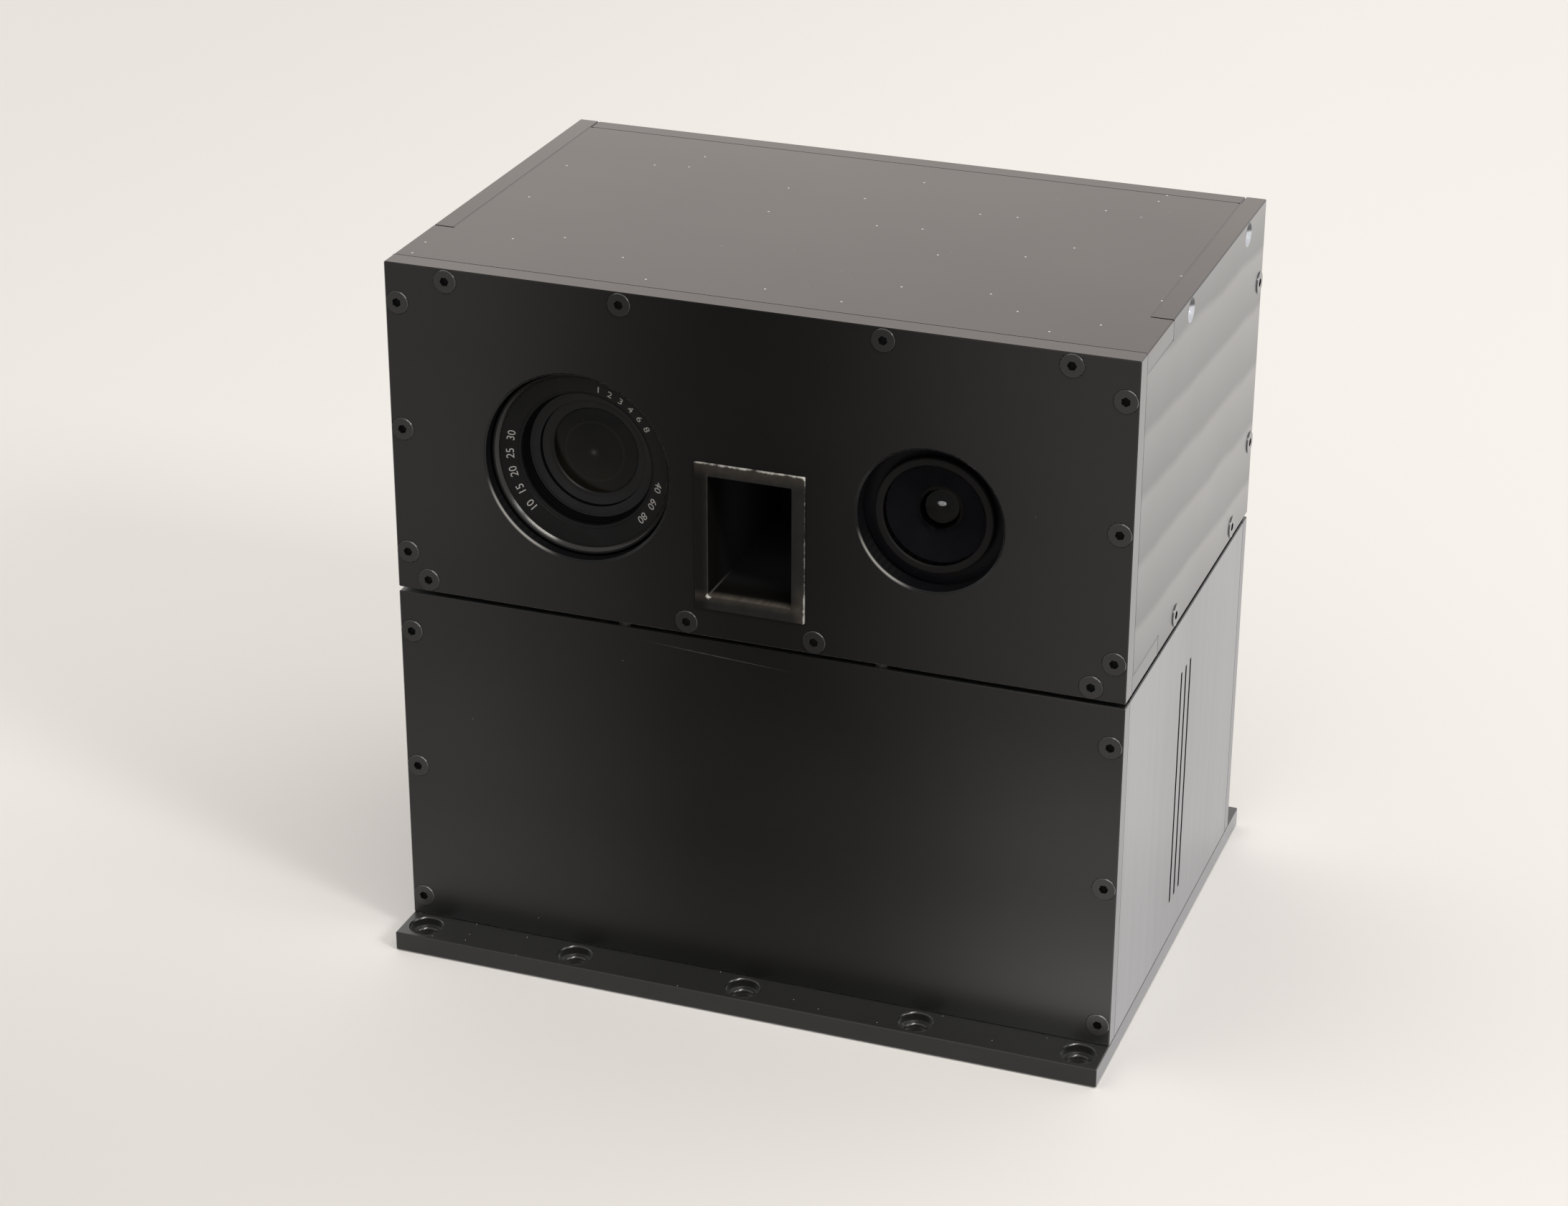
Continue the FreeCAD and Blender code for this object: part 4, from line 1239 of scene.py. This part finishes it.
class CAMERAUNIT_OT_aperture_tube(bpy.types.Operator):
    """Model the rectangular aperture tube with worn edges"""
    bl_idname = "camera_unit.aperture_tube"
    bl_label = "Build Aperture Tube"

    def execute(self, context):
        settings = context.scene.camera_unit_tube
        low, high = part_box("aperture_tube")
        tube = block("aperture_tube_worn", (low + high) / 2, high - low)
        bpy.ops.object.mode_set(mode="EDIT")
        pick(tube, "faces", lambda face: abs(face.normal.y) > 0.5)
        bpy.ops.mesh.inset(thickness=settings.wall, depth=0)
        bpy.ops.mesh.bridge_edge_loops()
        bpy.ops.object.mode_set(mode="OBJECT")
        rounding = tube.modifiers.new("rounding", "BEVEL")
        rounding.width = settings.edge_round
        rounding.segments = ROUNDING_STEPS
        rounding.limit_method = "ANGLE"
        rounding.angle_limit = math.radians(60)
        apply_modifiers(tube)
        finish_piece(tube, self.worn_finish(settings, low, high), ["aperture_tube"])
        return {"FINISHED"}

    def worn_finish(self, settings, low, high):
        """Black paint over metal, worn through along the front edges, over a matte inside. The left face gets painted
        shade, and the inside gets painted light that grows with depth.
        """
        finish = Finish("worn_black_paint")
        grain = finish.noise(0.4 * MM, detail=4)
        blotch = finish.noise(3.0 * MM, detail=4)
        wall = Vector((settings.wall,) * 3)
        inner_low, inner_high = low + wall, high - wall

        def back(start, end):
            """Rises between two depths behind the tube's front, in millimetres."""
            return finish.rise(finish.y, low.y + start * MM, low.y + end * MM)

        def between(level, start, end, wide, narrow):
            """All between two places, and nothing further out than the wide margin, in millimetres."""
            return (finish.rise(level, start - wide * MM, start - narrow * MM)
                    * finish.rise(level, end + wide * MM, end + narrow * MM))

        inside = (back(0.1, 0.6) * between(finish.x, inner_low.x, inner_high.x, 1, 0.2)
                  * between(finish.z, inner_low.z, inner_high.z, 1, 0.2))
        beside = between(finish.z, inner_low.z, inner_high.z, 1, 0)
        in_front = 1 - back(0.2, 1.2)
        on_floor = finish.near(finish.z, inner_low.z, 1 * MM)

        # The right edge is worn most in its lower half
        right_top, halo_top, right_low = 146 * MM, 144 * MM, 134 * MM
        top = finish.near(finish.z, high.z, 1.5 * MM)
        right = finish.near(finish.x, high.x, 1.0 * MM) * (0.75 + 0.45 * finish.rise(finish.z, right_top, right_low))
        bottom = finish.near(finish.z, low.z, 0.5 * MM) * 0.6
        lip = finish.near(finish.z, inner_low.z, 0.9 * MM) * 0.55
        corner = finish.near(finish.x, inner_low.x, 1.5 * MM) * finish.near(finish.z, inner_low.z, 2.4 * MM) * 1.2
        edges = (top + right + bottom + lip + corner) * in_front
        worn = finish.rise(edges * (0.15 + blotch) + (grain - 0.5) * 0.3, 0.42, 0.85)

        top_halo = finish.near(finish.z, high.z, 5 * MM) * 0.65
        right_halo = finish.near(finish.x, high.x, 4.5 * MM) * finish.rise(finish.z, halo_top, right_low) * 0.8
        mouth_halo = finish.near(finish.x, inner_low.x, 0.4 * MM) * beside * 0.7
        low_halo = finish.near(finish.z, inner_low.z, 2.5 * MM) * 0.5
        halo = (top_halo + right_halo + mouth_halo + low_halo) * (blotch + 0.2)
        painted_shade_left = finish.rise(finish.x, inner_low.x + 1 * MM, low.x + 2 * MM)
        tone = finish.mix(blotch, scaled(settings.tone, 0.8), scaled(settings.tone, 1.5))
        tone = finish.mix(painted_shade_left, tone, scaled(settings.tone, 0.45))
        tone = finish.mix(halo, tone, settings.halo_tone)
        tone = finish.mix(worn, tone, settings.metal_tone)
        painted = finish.surface(Base_Color=tone, Metallic=worn * 0.8, Roughness=0.42 + grain * 0.12,
                                 Specular_IOR_Level=0.05, Normal=finish.bump(grain + blotch - worn * 0.5, 0.02 * MM))

        drags = finish.noise(1.0, detail=3, sizes=(900, 90, 900))
        smear = on_floor * back(9, 2) * (drags + 0.3) * back(5, 0.5)
        crease = finish.near(finish.x, inner_low.x, 0.3 * MM) * on_floor * back(24, 6)
        painted_inside_light = finish.mix(back(6, 34), scaled(settings.tone, 0.35), (0.034, 0.034, 0.037))
        painted_inside_light = finish.mix(smear, painted_inside_light, scaled(settings.halo_tone, 1.6))
        painted_inside_light = finish.mix(crease, painted_inside_light, scaled(settings.metal_tone, 0.16))
        matte = finish.surface(Base_Color=painted_inside_light, Roughness=0.8, Specular_IOR_Level=0.0,
                               Normal=finish.bump(grain, 0.02 * MM))
        return finish.close(finish.blend(inside, painted, matte))


class CAMERAUNIT_OT_stage(bpy.types.Operator):
    """Set the floor, the lamps and the camera"""
    bl_idname = "camera_unit.stage"
    bl_label = "Set Stage"

    def execute(self, context):
        settings = context.scene.camera_unit_stage
        floor = self.floor(settings)
        self.sky(settings)
        self.lamp("key_lamp", KEY_PLACE, KEY_SIZE, settings.key_power)
        strip = self.lamp("strip_lamp", STRIP_PLACE, STRIP_SIZE, settings.strip_power, along=STRIP_ALONG)
        strip.data.color = settings.strip_tone
        self.light_only(strip, floor, "EXCLUDE")
        for name, place, size, power, receiver in (
                ("wide_glint_lamp", GLINT_PLACE, GLINT_SIZE, settings.glint_power, "wide_inner_lens"),
                ("zoom_glint_lamp", SMALL_GLINT_PLACE, SMALL_GLINT_SIZE, settings.small_glint_power,
                 "zoom_front_glass")):
            glint = self.lamp(name, place, size, power, shape="ELLIPSE")
            self.light_only(glint, bpy.data.objects[receiver], "INCLUDE")
        self.camera(settings)
        return {"FINISHED"}

    def floor(self, settings):
        """A wide round floor, with painted light that makes it lighter to the right and a painted shadow round the
        unit.
        """
        deselect_all()
        bpy.ops.mesh.primitive_circle_add(vertices=96, radius=settings.floor_radius, fill_type="NGON",
                                          location=(0, 0, -0.2 * MM))
        floor = bpy.context.object
        floor.name = "floor"
        apply_place()
        finish = Finish("pale_floor")
        shade = finish.near(finish.distance(finish.x + 0.2, finish.y + 0.3), 0.0, 0.35)
        painted_light_drift = (0.5 + finish.rise(finish.x, -0.75, 0.0) * 0.5 + (finish.noise(0.6, detail=3) - 0.5) * 0.06
                 - shade * 0.95)
        tone = finish.mix(painted_light_drift, scaled(settings.floor_tone, 0.90), scaled(settings.floor_tone, 1.11))
        floor.data.materials.append(finish.close(finish.surface(
            Base_Color=tone, Roughness=0.85, Specular_IOR_Level=0.2,
            Normal=finish.bump(finish.noise(1.5 * MM), 0.02 * MM))))
        return floor

    def sky(self, settings):
        """Even light from all round."""
        world = bpy.data.worlds.new("studio_light")
        bpy.context.scene.world = world
        world.use_nodes = True
        background = world.node_tree.nodes["Background"]
        background.inputs["Color"].default_value = (*settings.sky_tone, 1)
        background.inputs["Strength"].default_value = settings.sky_strength

    def lamp(self, name, place, size, power, along=X_AXIS, shape="RECTANGLE"):
        """A soft lamp aimed at the object, its long side along a direction."""
        bpy.ops.object.light_add(type="AREA", location=place)
        lamp = bpy.context.object
        lamp.name = name
        lamp.data.shape = shape
        lamp.data.size, lamp.data.size_y = size
        lamp.data.energy = power
        lamp.visible_camera = False
        back = (place - AIM).normalized()
        side = (along - back * along.dot(back)).normalized()
        lamp.rotation_euler = Matrix((side, back.cross(side), back)).transposed().to_euler()
        return lamp

    def light_only(self, lamp, receiver, state):
        """Makes a lamp light only an object, or all but that object."""
        group = bpy.data.collections.new(f"{lamp.name}_receivers")
        group.objects.link(receiver)
        lamp.light_linking.receiver_collection = group
        group.collection_objects[0].light_linking.link_state = state

    def camera(self, settings):
        """The camera at the photograph's place."""
        bpy.ops.object.camera_add(location=EYE)
        camera = bpy.context.object
        camera.name = "camera"
        camera.data.lens = settings.focal_length
        camera.data.sensor_width = 36
        camera.data.clip_start = 0.01
        ahead, right = SIGHT.normalized(), SIGHT_RIGHT.normalized()
        camera.rotation_euler = Matrix((right, right.cross(ahead), -ahead)).transposed().to_euler()
        bpy.context.scene.camera = camera
        bpy.context.scene.view_settings.view_transform = "Standard"


OPERATORS = (
    CAMERAUNIT_OT_plates,
    CAMERAUNIT_OT_inner_housings,
    CAMERAUNIT_OT_joint_fills,
    CAMERAUNIT_OT_screws,
    CAMERAUNIT_OT_hole_rims,
    CAMERAUNIT_OT_zoom_lens,
    CAMERAUNIT_OT_wide_lens,
    CAMERAUNIT_OT_aperture_tube,
    CAMERAUNIT_OT_stage,
)

SETTINGS = {
    "camera_unit_plates": PlateSettings,
    "camera_unit_screws": ScrewSettings,
    "camera_unit_holes": HoleSettings,
    "camera_unit_zoom": ZoomLensSettings,
    "camera_unit_wide": WideLensSettings,
    "camera_unit_tube": TubeSettings,
    "camera_unit_stage": StageSettings,
}


class CAMERAUNIT_PT_sidebar(bpy.types.Panel):
    """Lists the steps that dress the camera unit"""
    bl_idname = "CAMERAUNIT_PT_sidebar"
    bl_label = "Camera Unit"
    bl_space_type = "VIEW_3D"
    bl_region_type = "UI"
    bl_category = "Camera Unit"

    def draw(self, context):
        for operator in OPERATORS:
            self.layout.operator(operator.bl_idname)
        for name, group in SETTINGS.items():
            box = self.layout.box()
            box.label(text=group.__doc__)
            for setting in group.__annotations__:
                box.prop(getattr(context.scene, name), setting)


def register():
    for name, group in SETTINGS.items():
        bpy.utils.register_class(group)
        setattr(bpy.types.Scene, name, PointerProperty(type=group))
    for item in (*OPERATORS, CAMERAUNIT_PT_sidebar):
        bpy.utils.register_class(item)


def unregister():
    for item in (CAMERAUNIT_PT_sidebar, *reversed(OPERATORS)):
        bpy.utils.unregister_class(item)
    for name, group in SETTINGS.items():
        delattr(bpy.types.Scene, name)
        bpy.utils.unregister_class(group)


def main():
    """Builds the unit's looks, piece by piece."""
    register()
    for operator in OPERATORS:
        area, step = operator.bl_idname.split(".")
        getattr(getattr(bpy.ops, area), step)()


if __name__ == "__main__":
    main()
